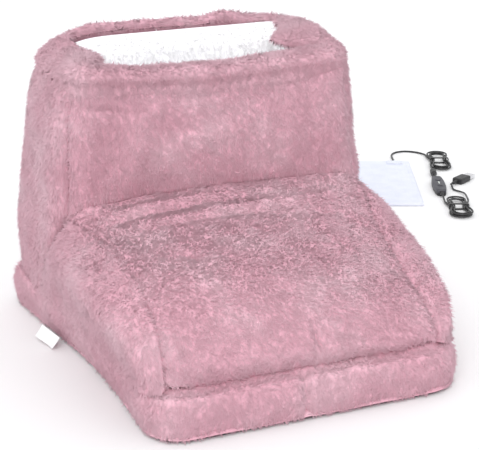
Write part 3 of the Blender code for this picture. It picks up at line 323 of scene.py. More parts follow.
def wall_top(panel, u):
    point = shaft_point(panel, u, WALL_TOP, 0)
    backward = ease((point.y - SHAFT_FRONT_Y) / (SHAFT_BACK_Y - SHAFT_FRONT_Y))
    across = swell((point.x + SHAFT_HALF_WIDTH) / (2 * SHAFT_HALF_WIDTH))
    return WALL_TOP + RIM_BACK_RISE * backward - RIM_FRONT_DIP * across * (1 - backward)


def crease_z(u, w):
    return CREASE_Z + CREASE_ARCH * swell(u) - CREASE_DROP * w


def foot_share():
    low_front = SHAFT_FRONT_Y + SHAFT_FRONT_RADIUS
    low_back = shaft_back_y(BASE_TOP) - SHAFT_BACK_RADIUS
    return ARC_SHARE + (1 - 2 * ARC_SHARE) * (SIDE_FOOT_Y - low_front) / (low_back - low_front)


def upper_z(panel, u, v, w, drop):
    return blend(crease_z(u if panel == FRONT else 0, w), wall_top(panel, u) - drop, v)


def front_place(u, v, w, drop=0.0):
    return shaft_point(FRONT, u, upper_z(FRONT, u, v, w, drop), w, PANEL_BULGE * swell(u) * swell(v))


def side_place(panel, u, v, w, drop=0.0):
    if v < ROW_SPLIT_SHARE:
        rise = v / ROW_SPLIT_SHARE
        along = blend(foot_share() * (1 - rise), 1, u)
        z = blend(BASE_TOP + GAP, crease_z(0, w), rise)
    else:
        along = u
        turned_u = u if panel == RIGHT else 1 - u
        z = upper_z(panel, turned_u, (v - ROW_SPLIT_SHARE) / (1 - ROW_SPLIT_SHARE), w, drop)
    along = along if panel == RIGHT else 1 - along
    return shaft_point(panel, along, z, w, PANEL_BULGE * swell(u) * swell(v))


def back_place(u, v, w, drop=0.0):
    if v < ROW_SPLIT_SHARE:
        z = blend(BASE_TOP + GAP, crease_z(0, w), v / ROW_SPLIT_SHARE)
    else:
        z = upper_z(BACK, u, (v - ROW_SPLIT_SHARE) / (1 - ROW_SPLIT_SHARE), w, drop)
    return shaft_point(BACK, u, z, w, PANEL_BULGE * swell(u) * swell(v))


def toe_profile(s, w):
    handles = (
        Vector((SHAFT_FRONT_Y, CREASE_Z)),
        Vector((TOE_BACK_HANDLE_Y, TOE_BACK_HANDLE_Z)),
        Vector((TOE_FRONT_Y, TOE_FRONT_HANDLE_Z)),
        Vector((TOE_FRONT_Y, TOE_END_Z)),
    )
    r = 1 - s
    point = r**3 * handles[0] + 3 * r * r * s * handles[1] + 3 * r * s * s * handles[2] + s**3 * handles[3]
    along = r * r * (handles[1] - handles[0]) + 2 * r * s * (handles[2] - handles[1])
    along = (along + s * s * (handles[3] - handles[2])).normalized()
    outward = Vector((along.y, -along.x))
    return point - outward * TOE_WALL * w, outward


def shaft_seam(side, w):
    u = 0 if side < 0 else 1
    return shaft_point(FRONT, u, crease_z(u, w), w)


def toe_edge(side, s, w):
    flat, _ = toe_profile(s, w)
    tilt = -side * TOE_TILT * swell(s**TOE_TILT_POWER) * (1 - TOE_TILT_FADE_SHARE * w)
    own = Vector((side * (TOE_HALF_WIDTH - TOE_WALL * w), flat.x, flat.y + tilt))
    start, _ = toe_profile(0, w)
    own_start = Vector((side * (TOE_HALF_WIDTH - TOE_WALL * w), start.x, start.y))
    return own + max(0.0, 1 - s / TOE_FADE_SHARE) ** 2 * (shaft_seam(side, w) - own_start)


def toe_place(u, s, w):
    _, outward = toe_profile(s, w)
    point = toe_edge(-1, s, w).lerp(toe_edge(1, s, w), u)
    point += Vector((0, outward.x, outward.y)) * (TOE_CROWN * swell(u) * swell(s) * (1 - w))
    back = shaft_point(FRONT, u, crease_z(u, w), w)
    fade = max(0.0, 1 - s / TOE_FADE_SHARE) ** 2
    point += fade * (back - shaft_seam(-1, w).lerp(shaft_seam(1, w), u))
    settle = ease((s - 1 + TOE_END_SHARE) / TOE_END_SHARE) * min(1, TOE_EDGE_RISE * u * (1 - u))
    point.z -= TOE_END_DROP * settle
    return point


def gusset_place(side, s, v, w):
    panel = RIGHT if side > 0 else LEFT
    rear_foot, rear = side_place(panel, 0, 0, w), side_place(panel, 0, v * ROW_SPLIT_SHARE, w)
    edge, edge_start = toe_edge(side, s, w), toe_edge(side, 0, w)
    foot_x = blend(rear_foot.x, side * (TOE_FOOT_HALF_WIDTH - TOE_WALL * w), s)
    foot_y = edge.y + (rear_foot.y - edge_start.y) * (1 - s) ** 2
    foot = Vector((foot_x, foot_y, rear_foot.z))
    point = foot.lerp(edge, v) + (1 - s) ** 2 * (rear - rear_foot.lerp(edge_start, v))
    bulge = TOE_BULGE * swell(v**TOE_BULGE_HEIGHT_POWER) * swell(s**TOE_BULGE_LENGTH_POWER)
    bulge *= 1 - TOE_BULGE_FADE_SHARE * w
    return point + bulge * Vector((side, 0, TOE_BULGE_LIFT_SHARE))


# Soft panels
PILE_DEPTH, LINING_DEPTH = 0.0045, 0.0025
SEAM_TUCK, SEAM_REACH = 0.0028, 0.0100
CELL = 0.0027
SKIN_SHADE, RIM_SHADE = 0.15, 0.3
# Size of a panel's soft lumps, and size and height share of its ripples
LUMP_SIZE, RIPPLE_SIZE, RIPPLE_SHARE = 0.034, 0.012, 0.45
FOLD_STRENGTH, PUFF_LOW_SHARE, PUFF_HIGH_SHARE = 1.15, 0.35, 0.8
# The swell beside a sewn upper edge: how far below it, how wide, and how far from the ends
LIP_DROP, LIP_REACH, LIP_END = 0.013, 0.011, 0.03
ROLL_REACH_SHARE, CORNER_REACH = 1.4, 0.010


def even_shares(points, count):
    """Shares along a row of points that lie equal distances apart, and the row's length."""
    along = np.concatenate([[0], np.cumsum(np.linalg.norm(np.diff(points, axis=0), axis=1))])
    shares = np.interp(np.linspace(0, along[-1], count + 1), along, np.linspace(0, 1, len(points)))
    return shares, along[-1]


def row_of(place, steps=240):
    return np.array([place(i / steps) for i in range(steps + 1)])


def cell_areas(points):
    across = points[1:, 1:] - points[:-1, :-1]
    other = points[:-1, 1:] - points[1:, :-1]
    return np.linalg.norm(np.cross(across, other), axis=2) / 2


def lumps(points, size, height, seed):
    shift = Vector((seed, 2 * seed, 3 * seed))
    flat = points.reshape(-1, 3)
    values = [noise.noise(Vector(p) / size + shift) for p in flat]
    return height * np.array(values).reshape(points.shape[:2])


def fold_height(folds, x, y):
    """Sum of soft ridges and dents: (x, y, half length, half width, angle, height)."""
    total = np.zeros_like(x)
    for place_x, place_y, half_length, half_width, angle, height in folds:
        c, s = math.cos(math.radians(angle)), math.sin(math.radians(angle))
        a = (x - place_x) * c + (y - place_y) * s
        b = -(x - place_x) * s + (y - place_y) * c
        total += height * np.exp(-((a / half_length) ** 2) - (b / half_width) ** 2)
    return total


def edge_tuck(distance):
    return SEAM_TUCK * np.clip(1 - distance / SEAM_REACH, 0, 1) ** 2


def smooth_step(value, low, high):
    share = np.clip((value - low) / (high - low), 0, 1)
    return share * share * (3 - 2 * share)


# How the soft boot stands: centre, reach and shift of each soft push, all in metres
PUSHES = (
    ((0.02, -0.13, 0.07), (0.20, 0.11, 0.05), (-0.007, 0, 0)),
    ((-0.16, 0.14, 0.11), (0.05, 0.09, 0.10), (-0.009, 0, 0)),
    ((-0.16, 0.08, 0.225), (0.05, 0.09, 0.05), (-0.008, 0, 0)),
    ((0.15, 0.01, 0.13), (0.05, 0.05, 0.03), (0.008, 0, 0.004)),
    ((-0.17, -0.05, 0.0), (0.06, 0.12, 0.024), (0.007, 0, 0)),
    ((-0.142, 0.178, 0.295), (0.034, 0.045, 0.035), (0.002, 0, -0.016)),
    ((0.16, 0.06, 0.280), (0.05, 0.07, 0.024), (-0.001, 0, -0.002)),
)


def settled(points):
    """Points of the boot moved by the soft pushes, each fading out from its centre."""
    points = np.array(points, dtype=float)
    moved = points.copy()
    for centre, reach, shift in PUSHES:
        away = (((points - centre) / reach) ** 2).sum(axis=-1)
        moved += np.exp(-away)[..., None] * np.array(shift)
    return moved


def closed_shell(name, skin, inner, flip):
    return shell_mesh(name, skin[:, ::-1], inner[:, ::-1]) if flip else shell_mesh(name, skin, inner)


def soft_panel(
    name, place, material, node, w, depth, tucks=(1, 1, 0, 0), folds=(), flip=False, seed=1,
    lump=0.0016, reach=(0, 0), puff=0.0, roll=0.0, lip=0.0,
):
    """One sewn panel as a closed shell, its outer skin crowned between the seams.

    tucks says which of the edges (low u, high u, low v, high v) are sewn seams, reach how far the
    skin runs on past its low and its high v, into the corner it shares with the next piece. puff
    swells its upper part, roll turns its upper edge in and lip swells it beside that edge.
    """
    middle = row_of(lambda share: place(share, 0.5, w[0]))
    upright = row_of(lambda share: place(0.5, share, w[0]))
    columns = max(8, round(even_shares(middle, 1)[1] / CELL))
    rows = max(8, round(even_shares(upright, 1)[1] / CELL))
    (us, width), (vs, height) = even_shares(middle, columns), even_shares(upright, rows)
    outer, inner = grid_of(place, us, vs, w[0]), grid_of(place, us, vs, w[1])
    normals = grid_normals(outer) * (-1 if flip else 1)
    x, y = np.meshgrid(np.linspace(0, width, columns + 1), np.linspace(0, height, rows + 1), indexing="ij")
    sunk = np.full(x.shape, depth)
    for on, distance in zip(tucks, (x, width - x, y, height - y)):
        if on:
            sunk = sunk + edge_tuck(distance)
    raised = lumps(outer, LUMP_SIZE, lump, seed) + lumps(outer, RIPPLE_SIZE, lump * RIPPLE_SHARE, seed + 7)
    puffed = puff * smooth_step(y, height * PUFF_LOW_SHARE, height * PUFF_HIGH_SHARE)
    raised += FOLD_STRENGTH * fold_height(folds, x, y) + puffed
    from_ends = smooth_step(np.minimum(x, width - x), 0, LIP_END)
    raised += lip * np.exp(-(((height - y - LIP_DROP) / LIP_REACH) ** 2)) * from_ends
    if roll:
        sunk = sunk + roll * (1 - smooth_step(height - y, 0, ROLL_REACH_SHARE * roll))
    skin = outer + normals * (raised - sunk)[..., None]
    for row, next_row, distance, length in ((0, 1, y, reach[0]), (-1, -2, height - y, reach[1])):
        if length:
            way = skin[:, row] - skin[:, next_row]
            way /= np.linalg.norm(way, axis=1, keepdims=True)
            way *= np.clip(np.linalg.norm(skin[:, -1] - skin[:, 0], axis=1, keepdims=True) / height, 0, 1)
            skin = skin + way[:, None, :] * (length * (1 - smooth_step(distance, 0, CORNER_REACH)))[..., None]
    skin = settled(skin)
    mesh = closed_shell(name, skin, settled(inner), flip)
    set_pile(mesh, SKIN_SHADE)
    piece = add_piece(name, mesh, material, node)
    return skin, grid_normals(skin) * (-1 if flip else 1)


# The nap's direction and the tufts' lift in degrees: sizes of the swirls and of the fine waves,
# then how strongly each of them and chance turn a tuft
SWIRL_SIZE, FINE_SIZE = 0.018, 0.0055
SWIRL_TURN, FINE_TURN, CHANCE_TURN = 0.75, 0.6, 0.35
SWIRL_LIFT, FINE_LIFT, CHANCE_LIFT, LEAST_LIFT, MOST_LIFT = 7, 10, 9, 0.15, 1.4
# Depth of a tuft's root, lowest place of its tip, chance in its length, and least width and its range
TUFT_ROOT, TUFT_FLOOR, LENGTH_CHANCE, WIDTH_LEAST, WIDTH_RANGE = 0.0006, 0.0006, 0.2, 0.8, 0.4
ROOT_SHADE, TIP_SHADE, TIP_RANGE = 0.2, 0.7, 0.3
# How much a tuft's own faces turn its normals away from those of the skin
OWN_SIDE, OWN_UP, OWN_TIP, OWN_SHARE = 0.7, 0.3, 0.6, 0.55


def pile(name, surface, look, nap, seed, body=ROOT, keep=None):
    """Tufts of pile: slim closed spikes rooted in the skin, leaning along the nap."""
    material, spacing, length, width, lift = look
    rng = np.random.default_rng(seed)
    areas = cell_areas(surface[0])
    count = int(areas.sum() / spacing**2)
    cells = rng.choice(areas.size, size=count, p=(areas / areas.sum()).ravel())
    i, j = np.unravel_index(cells, areas.shape)
    a, b = rng.random(count)[:, None], rng.random(count)[:, None]

    def at(values):
        low = values[i, j] * (1 - a) + values[i + 1, j] * a
        high = values[i, j + 1] * (1 - a) + values[i + 1, j + 1] * a
        return low * (1 - b) + high * b

    root, normal = (at(values) for values in surface)
    if keep is not None:
        kept = keep(root)
        root, normal = root[kept], normal[kept]
    count = len(root)
    normal /= np.linalg.norm(normal, axis=1, keepdims=True)
    swirl = np.array([noise.noise_vector(Vector(p) / SWIRL_SIZE) for p in root])
    fine = np.array([noise.noise_vector(Vector(p) / FINE_SIZE) for p in root])
    way = np.asarray(nap, dtype=float) + SWIRL_TURN * swirl + FINE_TURN * fine
    way += CHANCE_TURN * rng.normal(size=(count, 3))
    way -= normal * (way * normal).sum(axis=1, keepdims=True)
    way /= np.maximum(np.linalg.norm(way, axis=1, keepdims=True), 1e-9)
    angle = lift + SWIRL_LIFT * swirl[:, :1] + FINE_LIFT * fine[:, :1]
    angle = np.radians(angle + CHANCE_LIFT * rng.normal(size=(count, 1)))
    angle = np.clip(angle, LEAST_LIFT, MOST_LIFT)
    axis = way * np.cos(angle) + normal * np.sin(angle)
    side = np.cross(axis, normal)
    side /= np.maximum(np.linalg.norm(side, axis=1, keepdims=True), 1e-9)
    up = np.cross(side, axis)
    reach = length * (1 + LENGTH_CHANCE * rng.normal(size=(count, 1)))
    half = width / 2 * (WIDTH_LEAST + WIDTH_RANGE * rng.random((count, 1)))
    base = root - normal * TUFT_ROOT
    tip = base + axis * reach
    tip[:, 2] = np.maximum(tip[:, 2], TUFT_FLOOR)
    low_a, low_b = base + side * half - up * half * 0.5, base - side * half - up * half * 0.5
    low_c = base + up * half
    points = np.stack([low_a, low_b, low_c, tip], axis=1).reshape(-1, 3)
    start = np.arange(count)[:, None] * 4
    pattern = np.array([[0, 2, 1], [0, 1, 3], [1, 2, 3], [2, 0, 3]])
    faces = (start[:, None, :] + pattern[None]).reshape(-1, 3)
    mesh = mesh_of(name, points, faces)
    shade = [np.full(count, ROOT_SHADE)] * 3 + [TIP_SHADE + TIP_RANGE * rng.random(count)]
    shade = np.stack(shade, axis=1)
    set_pile(mesh, shade.ravel())
    add_piece(name, mesh, material, body=body)
    # Tufts catch the light as the surface they stand on does, so the pile looks soft
    own = [side * OWN_SIDE - up * OWN_UP, -side * OWN_SIDE - up * OWN_UP, up, axis * OWN_TIP]
    soft = np.stack(own, axis=1) * OWN_SHARE + normal[:, None, :]
    soft /= np.linalg.norm(soft, axis=2, keepdims=True)
    mesh.normals_split_custom_set_from_vertices(soft.reshape(-1, 3))


DOWN, FORWARD, LEVEL = (0, -0.25, -1), (0, -1, -0.35), (0, -0.6, 0)
# Material, spacing, length, width and lift of the tufts
FUR_LOOK = (FUR, 0.00145, 0.0058, 0.0011, 38)
BAND_LOOK = (FUR, 0.00150, 0.0060, 0.0012, 32)
RIM_LOOK = (RIM, 0.00145, 0.0055, 0.0012, 34)
LINING_LOOK = (LINING, 0.00230, 0.0050, 0.0018, 45)
FLAP_LOOK = (FUR, 0.00150, 0.0040, 0.0011, 26)

# Folds of a panel, from its low u and low v: place, half length, half width, angle and height
FRONT_FOLDS = (
    (0.033, 0.109, 0.014, 0.0026, 45, -0.0032),
    (0.040, 0.101, 0.012, 0.0030, 45, 0.0020),
    (0.038, 0.084, 0.026, 0.0030, -5, -0.0030),
    (0.045, 0.045, 0.034, 0.0150, 84, -0.0045),
    (0.070, 0.040, 0.030, 0.0100, 80, 0.0025),
    (0.120, 0.066, 0.050, 0.0100, 8, -0.0020),
    (0.200, 0.085, 0.040, 0.0080, 12, -0.0016),
    (0.235, 0.050, 0.030, 0.0120, 70, 0.0022),
)
TOE_FOLDS = (
    (0.085, 0.014, 0.050, 0.0050, -6, 0.0030),
    (0.095, 0.026, 0.055, 0.0030, -6, -0.0026),
    (0.125, 0.038, 0.070, 0.0055, -5, 0.0026),
    (0.120, 0.052, 0.060, 0.0035, -4, -0.0020),
    (0.205, 0.060, 0.050, 0.0060, 4, -0.0014),
    (0.060, 0.120, 0.012, 0.0060, 60, -0.0030),
    (0.140, 0.190, 0.026, 0.0100, 15, -0.0024),
    (0.085, 0.180, 0.030, 0.0130, 30, 0.0024),
    (0.150, 0.243, 0.018, 0.0030, 85, -0.0040),
    (0.210, 0.205, 0.040, 0.0160, -12, 0.0020),
)


# How far the skins run on at their low and high v
WALL_REACH, FRONT_REACH = (0.0040, 0.0030), (0.0045, 0.0030)
TOE_REACH, GUSSET_REACH = (0.0045, 0.0015), (0.0040, 0)
TOE_LIP = 0.0050
GUSSET_CLOSE, GUSSET_CLOSE_SHARE = 0.0140, 0.20


def gusset_soft(side, s, v, w):
    """The gusset with its front end drawn in under the toe, where the two seams meet."""
    point = gusset_place(side, s, v, w)
    point.x -= side * GUSSET_CLOSE * ease((s - 1 + GUSSET_CLOSE_SHARE) / GUSSET_CLOSE_SHARE) * (1 - v)
    return point


def dress_walls():
    surfaces = {}

    def wall(word, node, place, **shape):
        fur = (0, FUR_SHARE)
        surfaces[word] = soft_panel(f"{word}_plush", place, FUR, node, fur, PILE_DEPTH, **shape)

    wall("front", "shaft_front_fur", front_place, folds=FRONT_FOLDS, reach=FRONT_REACH)
    for panel, word in ((RIGHT, "right"), (LEFT, "left")):
        place = partial(side_place, panel)
        wall(f"{word}_side", f"shaft_{word}_fur", place, flip=panel == LEFT, seed=3 + panel, reach=WALL_REACH)
    wall("back", "shaft_back_fur", back_place, seed=9, reach=WALL_REACH)
    shape = {"folds": TOE_FOLDS, "flip": True, "seed": 11, "reach": TOE_REACH, "lip": TOE_LIP}
    wall("toe", "toe_top_fur", toe_place, **shape)
    for side, word in ((1, "right"), (-1, "left")):
        shape = {"tucks": (1, 0, 0, 1), "flip": side > 0, "seed": 13 + side, "reach": GUSSET_REACH}
        wall(f"{word}_gusset", f"toe_{word}_fur", partial(gusset_soft, side), **shape)
    for word, surface in surfaces.items():
        pile(f"{word}_pile", surface, FUR_LOOK, FORWARD if word == "toe" else DOWN, len(word))


# How far the lining stands up inside the rim, at the front as a share of the rim's white facing
# and at the back as a share of the cuff, and where along the sides it rises from one to the other
LINING_FRONT_SHARE, LINING_BACK_SHARE = 0.8, 0.80
LINING_RISE_START_SHARE, LINING_RISE_LENGTH_SHARE = 0.55, 0.4
LINING_PUFF, LINING_ROLL, LINING_LUMP = 0.010, 0.012, 0.0010


def dress_linings():
    drop, back_drop = -CUFF_HEIGHT * RIM_FACING_SHARE * LINING_FRONT_SHARE, -CUFF_HEIGHT * LINING_BACK_SHARE

    def side_lining(panel, u, v, w):
        risen = ease((u - LINING_RISE_START_SHARE) / LINING_RISE_LENGTH_SHARE)
        return side_place(panel, u, v, w, blend(drop, back_drop, risen))

    places = {
        "shaft_front": (partial(front_place, drop=drop), True),
        "shaft_right": (partial(side_lining, RIGHT), True),
        "shaft_left": (partial(side_lining, LEFT), False),
        "shaft_back": (partial(back_place, drop=back_drop), True),
        "toe_top": (toe_place, False),
        "toe_right": (partial(gusset_place, 1), False),
        "toe_left": (partial(gusset_place, -1), True),
    }
    for word, (place, flip) in places.items():
        upright = word.startswith("shaft")
        shape = {"tucks": (0, 0, 0, 0), "flip": flip, "seed": len(word), "lump": LINING_LUMP}
        shape |= {"puff": LINING_PUFF * upright, "roll": LINING_ROLL * upright}
        white = (1, LINING_SHARE)
        surface = soft_panel(f"{word}_fleece", place, LINING, f"{word}_lining", white, LINING_DEPTH, **shape)
        pile(f"{word}_fleece_pile", surface, LINING_LOOK, DOWN, len(word))


# Closed bands
def band_normals(grid):
    around, across = np.roll(grid, -1, 0) - np.roll(grid, 1, 0), np.roll(grid, -1, 1) - np.roll(grid, 1, 1)
    normals = np.cross(around, across)
    return normals / np.maximum(np.linalg.norm(normals, axis=2, keepdims=True), 1e-12)


def wrapped(grid):
    grid = np.concatenate([grid, grid[:1]], axis=0)
    return np.concatenate([grid, grid[:, :1]], axis=1)


def band_surface(skin, seen):
    return wrapped(skin)[:, seen], wrapped(band_normals(skin))[:, seen]


def band_mesh(name, grid):
    around, across = grid.shape[:2]
    index = np.arange(around * across).reshape(around, across)
    right, up = np.roll(index, -1, 0), np.roll(index, -1, 1)
    faces = np.stack([index, right, np.roll(right, -1, 1), up], axis=-1).reshape(-1, 4)
    return mesh_of(name, grid.reshape(-1, 3), faces)


def on_curve(before, start, end, after, t):
    """A point between start and end on a smooth curve through four points or arrays of them."""
    return (
        0.5 * (2 * start + (end - before) * t + (2 * before - 5 * start + 4 * end - after) * t * t)
        + 0.5 * (3 * start - before - 3 * end + after) * t**3
    )


def smooth_loop(points, steps):
    """A closed smooth curve through a loop of points, as an array."""
    loop = np.array(points, dtype=float)
    around = [np.roll(loop, shift, 0) for shift in (1, 0, -1, -2)]
    result = [on_curve(*around, step / steps) for step in range(steps)]
    return np.stack(result, axis=1).reshape(-1, loop.shape[1])


def loop_shares(place, cell):
    """Shares round a loop at equal distances."""
    points = row_of(place, 1600)
    count = round(even_shares(points, 1)[1] / cell)
    return even_shares(points, count)[0][:-1].tolist()


def table_value(table, share):
    """A smooth value from a table of even steps round a loop."""
    count = len(table)
    at = (share % 1) * count
    i, t = int(at), at - int(at)
    return on_curve(*(table[(i + k) % count] for k in (-1, 0, 1, 2)), t)


# Round the rim from the middle of the front left corner, anticlockwise: how far the soft roll
# stands over the opening, and how much it rises over the solid
RIM_OVERHANG = (
    *(0.014, 0.006, 0.002, 0.010, 0.026, 0.036, 0.038, 0.032),
    *(0.014, 0.001, 0.0, 0.001, 0.012, 0.024, 0.030, 0.026),
)
RIM_RISE = (
    *(0.002, 0.002, 0.0015, 0.001, 0.0, 0.001, 0.002, 0.001),
    *(0.001, 0.002, 0.006, 0.008, 0.010, 0.0, -0.001, 0.001),
)
# The same round the rim: the share of the wall's thickness under the roll, how far the white facing
# starts below the roll's top as a share of its height, and how round its outer shoulder is
RIM_WIDTH = (1, 1, 1, 1, 1, 1, 1, 0.95, 0.78, 0.58, 0.54, 0.58, 0.84, 0.96, 1, 1)
RIM_FACING = (0.34, 0.34, 0.34, 0.34, 0.34, 0.34, 0.36, 0.42, 0.52, 0.64, 0.66, 0.62, 0.42, 0.40, 0.36, 0.34)
RIM_ROUND = (0.6, 0.2, 0.1, 0.4, 1.2, 1.3, 1.0, 0.5, 0.3, 0.1, 0, 0.1, 0.5, 1.2, 1.6, 1.3)
RIM_HUMP_SHARE, RIM_HUMP_REACH, RIM_HUMP_HEIGHT = 0.589, 0.011, 0.0045
RIM_DEPTH = 0.0012
# Heights over the roll's foot between which its skin comes out to the solid and its lumps set in
RIM_DEPTH_RISE, RIM_LUMP_RISE = (0.020, 0.034), (0.012, 0.022)
# Size, height and seed of each layer of lumps
RIM_LUMPS, BAND_LUMPS = ((0.040, 0.0022, 21), (0.013, 0.0008, 22)), ((0.036, 0.0022, 31), (0.012, 0.0010, 32))
# The line inside the opening towards which the roll leans
SPINE_HALF, SPINE_Y = 0.0700, 0.1120
RIM_FACING_SHARE = 0.34
LAST_SHARE, CURVE_STEPS = 0.999999, 4
# Columns of the rim's and of the band's sections that are seen, and so have pile
RIM_SEEN, BAND_SEEN = slice(8, 41), slice(13, 38)


def rim_section(overhang, width, facing, roundness):
    """Points of (share of the wall, reach over the opening, height over the wall's top)."""
    high = CUFF_HEIGHT
    return (
        (0.26, 0, -0.0110),
        (0.08, 0, -0.0070),
        (0.02, 0, -0.0010),
        (0, 0, high * 0.30),
        (0.02 * roundness, 0, high * (0.68 - 0.14 * roundness)),
        (0.20 + 0.10 * roundness, 0, high * (0.94 - 0.08 * roundness)),
        (0.58 * width, 0.15 * overhang, high),
        (0.90 * width, 0.60 * overhang, high * 0.90),
        (width, overhang, high * blend(facing, 1, 0.40)),
        (width, 0.85 * overhang, high * facing),
        (0.98 * width, 0, high * facing * 0.9),
        (0.76 * width, 0, high * facing * 0.9),
        (0.75 * width, 0, GAP),
    )


def dress_rim():
    def outer(t):
        panel, u = divmod(min(t, LAST_SHARE) * 4, 1)
        return shaft_point(int(panel), u, WALL_TOP, 0)

    shares = loop_shares(outer, CELL)
    grid = []
    for t in shares:
        panel, u = divmod(t * 4, 1)
        panel = int(panel)
        top = wall_top(panel, u)
        overhang, width, facing, roundness, rise = (
            table_value(table, t) for table in (RIM_OVERHANG, RIM_WIDTH, RIM_FACING, RIM_ROUND, RIM_RISE)
        )
        rise += RIM_HUMP_HEIGHT * math.exp(-(((t - RIM_HUMP_SHARE) / RIM_HUMP_REACH) ** 2))
        section = smooth_loop(rim_section(max(overhang, 0), width, facing, roundness), CURVE_STEPS)
        edge = shaft_point(panel, u, top, 1)
        spine_x = min(max(edge.x, -SPINE_HALF), SPINE_HALF)
        inward = Vector((spine_x - edge.x, SPINE_Y - edge.y, 0)).normalized()
        row = []
        for share, reach, height in section.tolist():
            point = shaft_point(panel, u, top + height, min(share, 1)) + inward * reach
            point.z += rise * smooth_step(height, GAP, CUFF_HEIGHT * 0.6)
            row.append(point)
        grid.append(row)
    grid = np.array(grid)
    normals = band_normals(grid)
    height = grid[..., 2] - grid[..., :1, 2]
    sunk = blend(PILE_DEPTH, RIM_DEPTH, smooth_step(height, *RIM_DEPTH_RISE))
    raised = sum(lumps(grid, *layer) for layer in RIM_LUMPS) * smooth_step(height, *RIM_LUMP_RISE)
    skin = settled(grid + normals * (raised - sunk)[..., None])
    mesh = band_mesh("rim_velour", skin)
    set_pile(mesh, RIM_SHADE)
    piece = add_piece("rim_velour", mesh, RIM, "rim_cuff")
    pile("rim_pile", band_surface(skin, RIM_SEEN), RIM_LOOK, (0, 0, -0.8), 5)


def base_widening(y):
    return 1 + BASE_REAR_FLARE / BASE_HALF_WIDTH * ((y / BASE_HALF_LENGTH + 1) / 2) ** 2


def rounded_outline(t, half_width, half_length, radius, straight):
    """A point round a rectangle with round corners, from +x: straight is each side's share before its arc."""
    quarter, local = divmod(t * 4, 1)
    quarter = int(quarter) % 4
    start = QUARTER_TURN * quarter
    signs = ((1, 1), (-1, 1), (-1, -1), (1, -1))[quarter]
    centre = Vector((signs[0] * (half_width - radius), signs[1] * (half_length - radius)))
    first = Vector((half_width * math.cos(start), half_length * math.sin(start)))
    last = Vector((-half_width * math.sin(start), half_length * math.cos(start)))
    turned = (local - straight) / (1 - 2 * straight)
    angle = start + QUARTER_TURN * min(max(turned, 0), 1)
    point = centre + radius * Vector((math.cos(angle), math.sin(angle)))
    if turned < 0:
        return first.lerp(point, local / straight)
    if turned > 1:
        return point.lerp(last, 1 - (1 - local) / straight)
    return point


def base_outline(t, depth):
    half_width, half_length = BASE_HALF_WIDTH - BAND_BULGE - depth, BASE_HALF_LENGTH - BAND_BULGE - depth
    point = rounded_outline(t, half_width, half_length, BASE_CORNER_RADIUS - depth, 0.25)
    point.x *= base_widening(point.y)
    return point


# Pinches and swells of the band: share round it, half length in metres and height, with the
# metres that one whole round counts for
BAND_FOLDS = (
    (0.746, 0.005, -0.0040),
    (0.740, 0.018, 0.0016),
    (0.60, 0.006, -0.0020),
    (0.545, 0.005, -0.0022),
)
BAND_DEPTH, BAND_ROUND = 0.0038, 1.9
# Where the band has no pile: behind the flap, under the walls and at the floor
BARE_BEHIND_Y, BARE_TOP_DEPTH, BARE_HALF_WIDTH, BARE_FRONT_Y, BARE_LOW = 0.19, 0.003, 0.150, -0.180, 0.0012


def cut_pocket(piece):
    """The slot of the pad pocket, cut as in the solids."""
    half = POCKET_WIDTH / 2
    low = Vector((-half, POCKET_FRONT_Y, POCKET_CENTRE_Z - POCKET_HEIGHT / 2))
    high = Vector((half, BASE_HALF_LENGTH + 0.02, POCKET_CENTRE_Z + POCKET_HEIGHT / 2))
    bm = bmesh.new()
    matrix = Matrix.Translation((low + high) / 2) @ Matrix.Diagonal((*(high - low), 1))
    bmesh.ops.create_cube(bm, size=1, matrix=matrix)
    mesh = bpy.data.meshes.new("pocket_cutter")
    bm.to_mesh(mesh)
    bm.free()
    cutter = bpy.data.objects.new("pocket_cutter", mesh)
    bpy.context.scene.collection.objects.link(cutter)
    modifier = piece.modifiers.new("pocket", "BOOLEAN")
    modifier.operation, modifier.solver, modifier.object = "DIFFERENCE", "EXACT", cutter
    bpy.context.view_layer.update()
    finished = bpy.data.meshes.new_from_object(piece.evaluated_get(bpy.context.evaluated_depsgraph_get()))
    piece.modifiers.clear()
    piece.data = finished
    bpy.data.objects.remove(cutter)


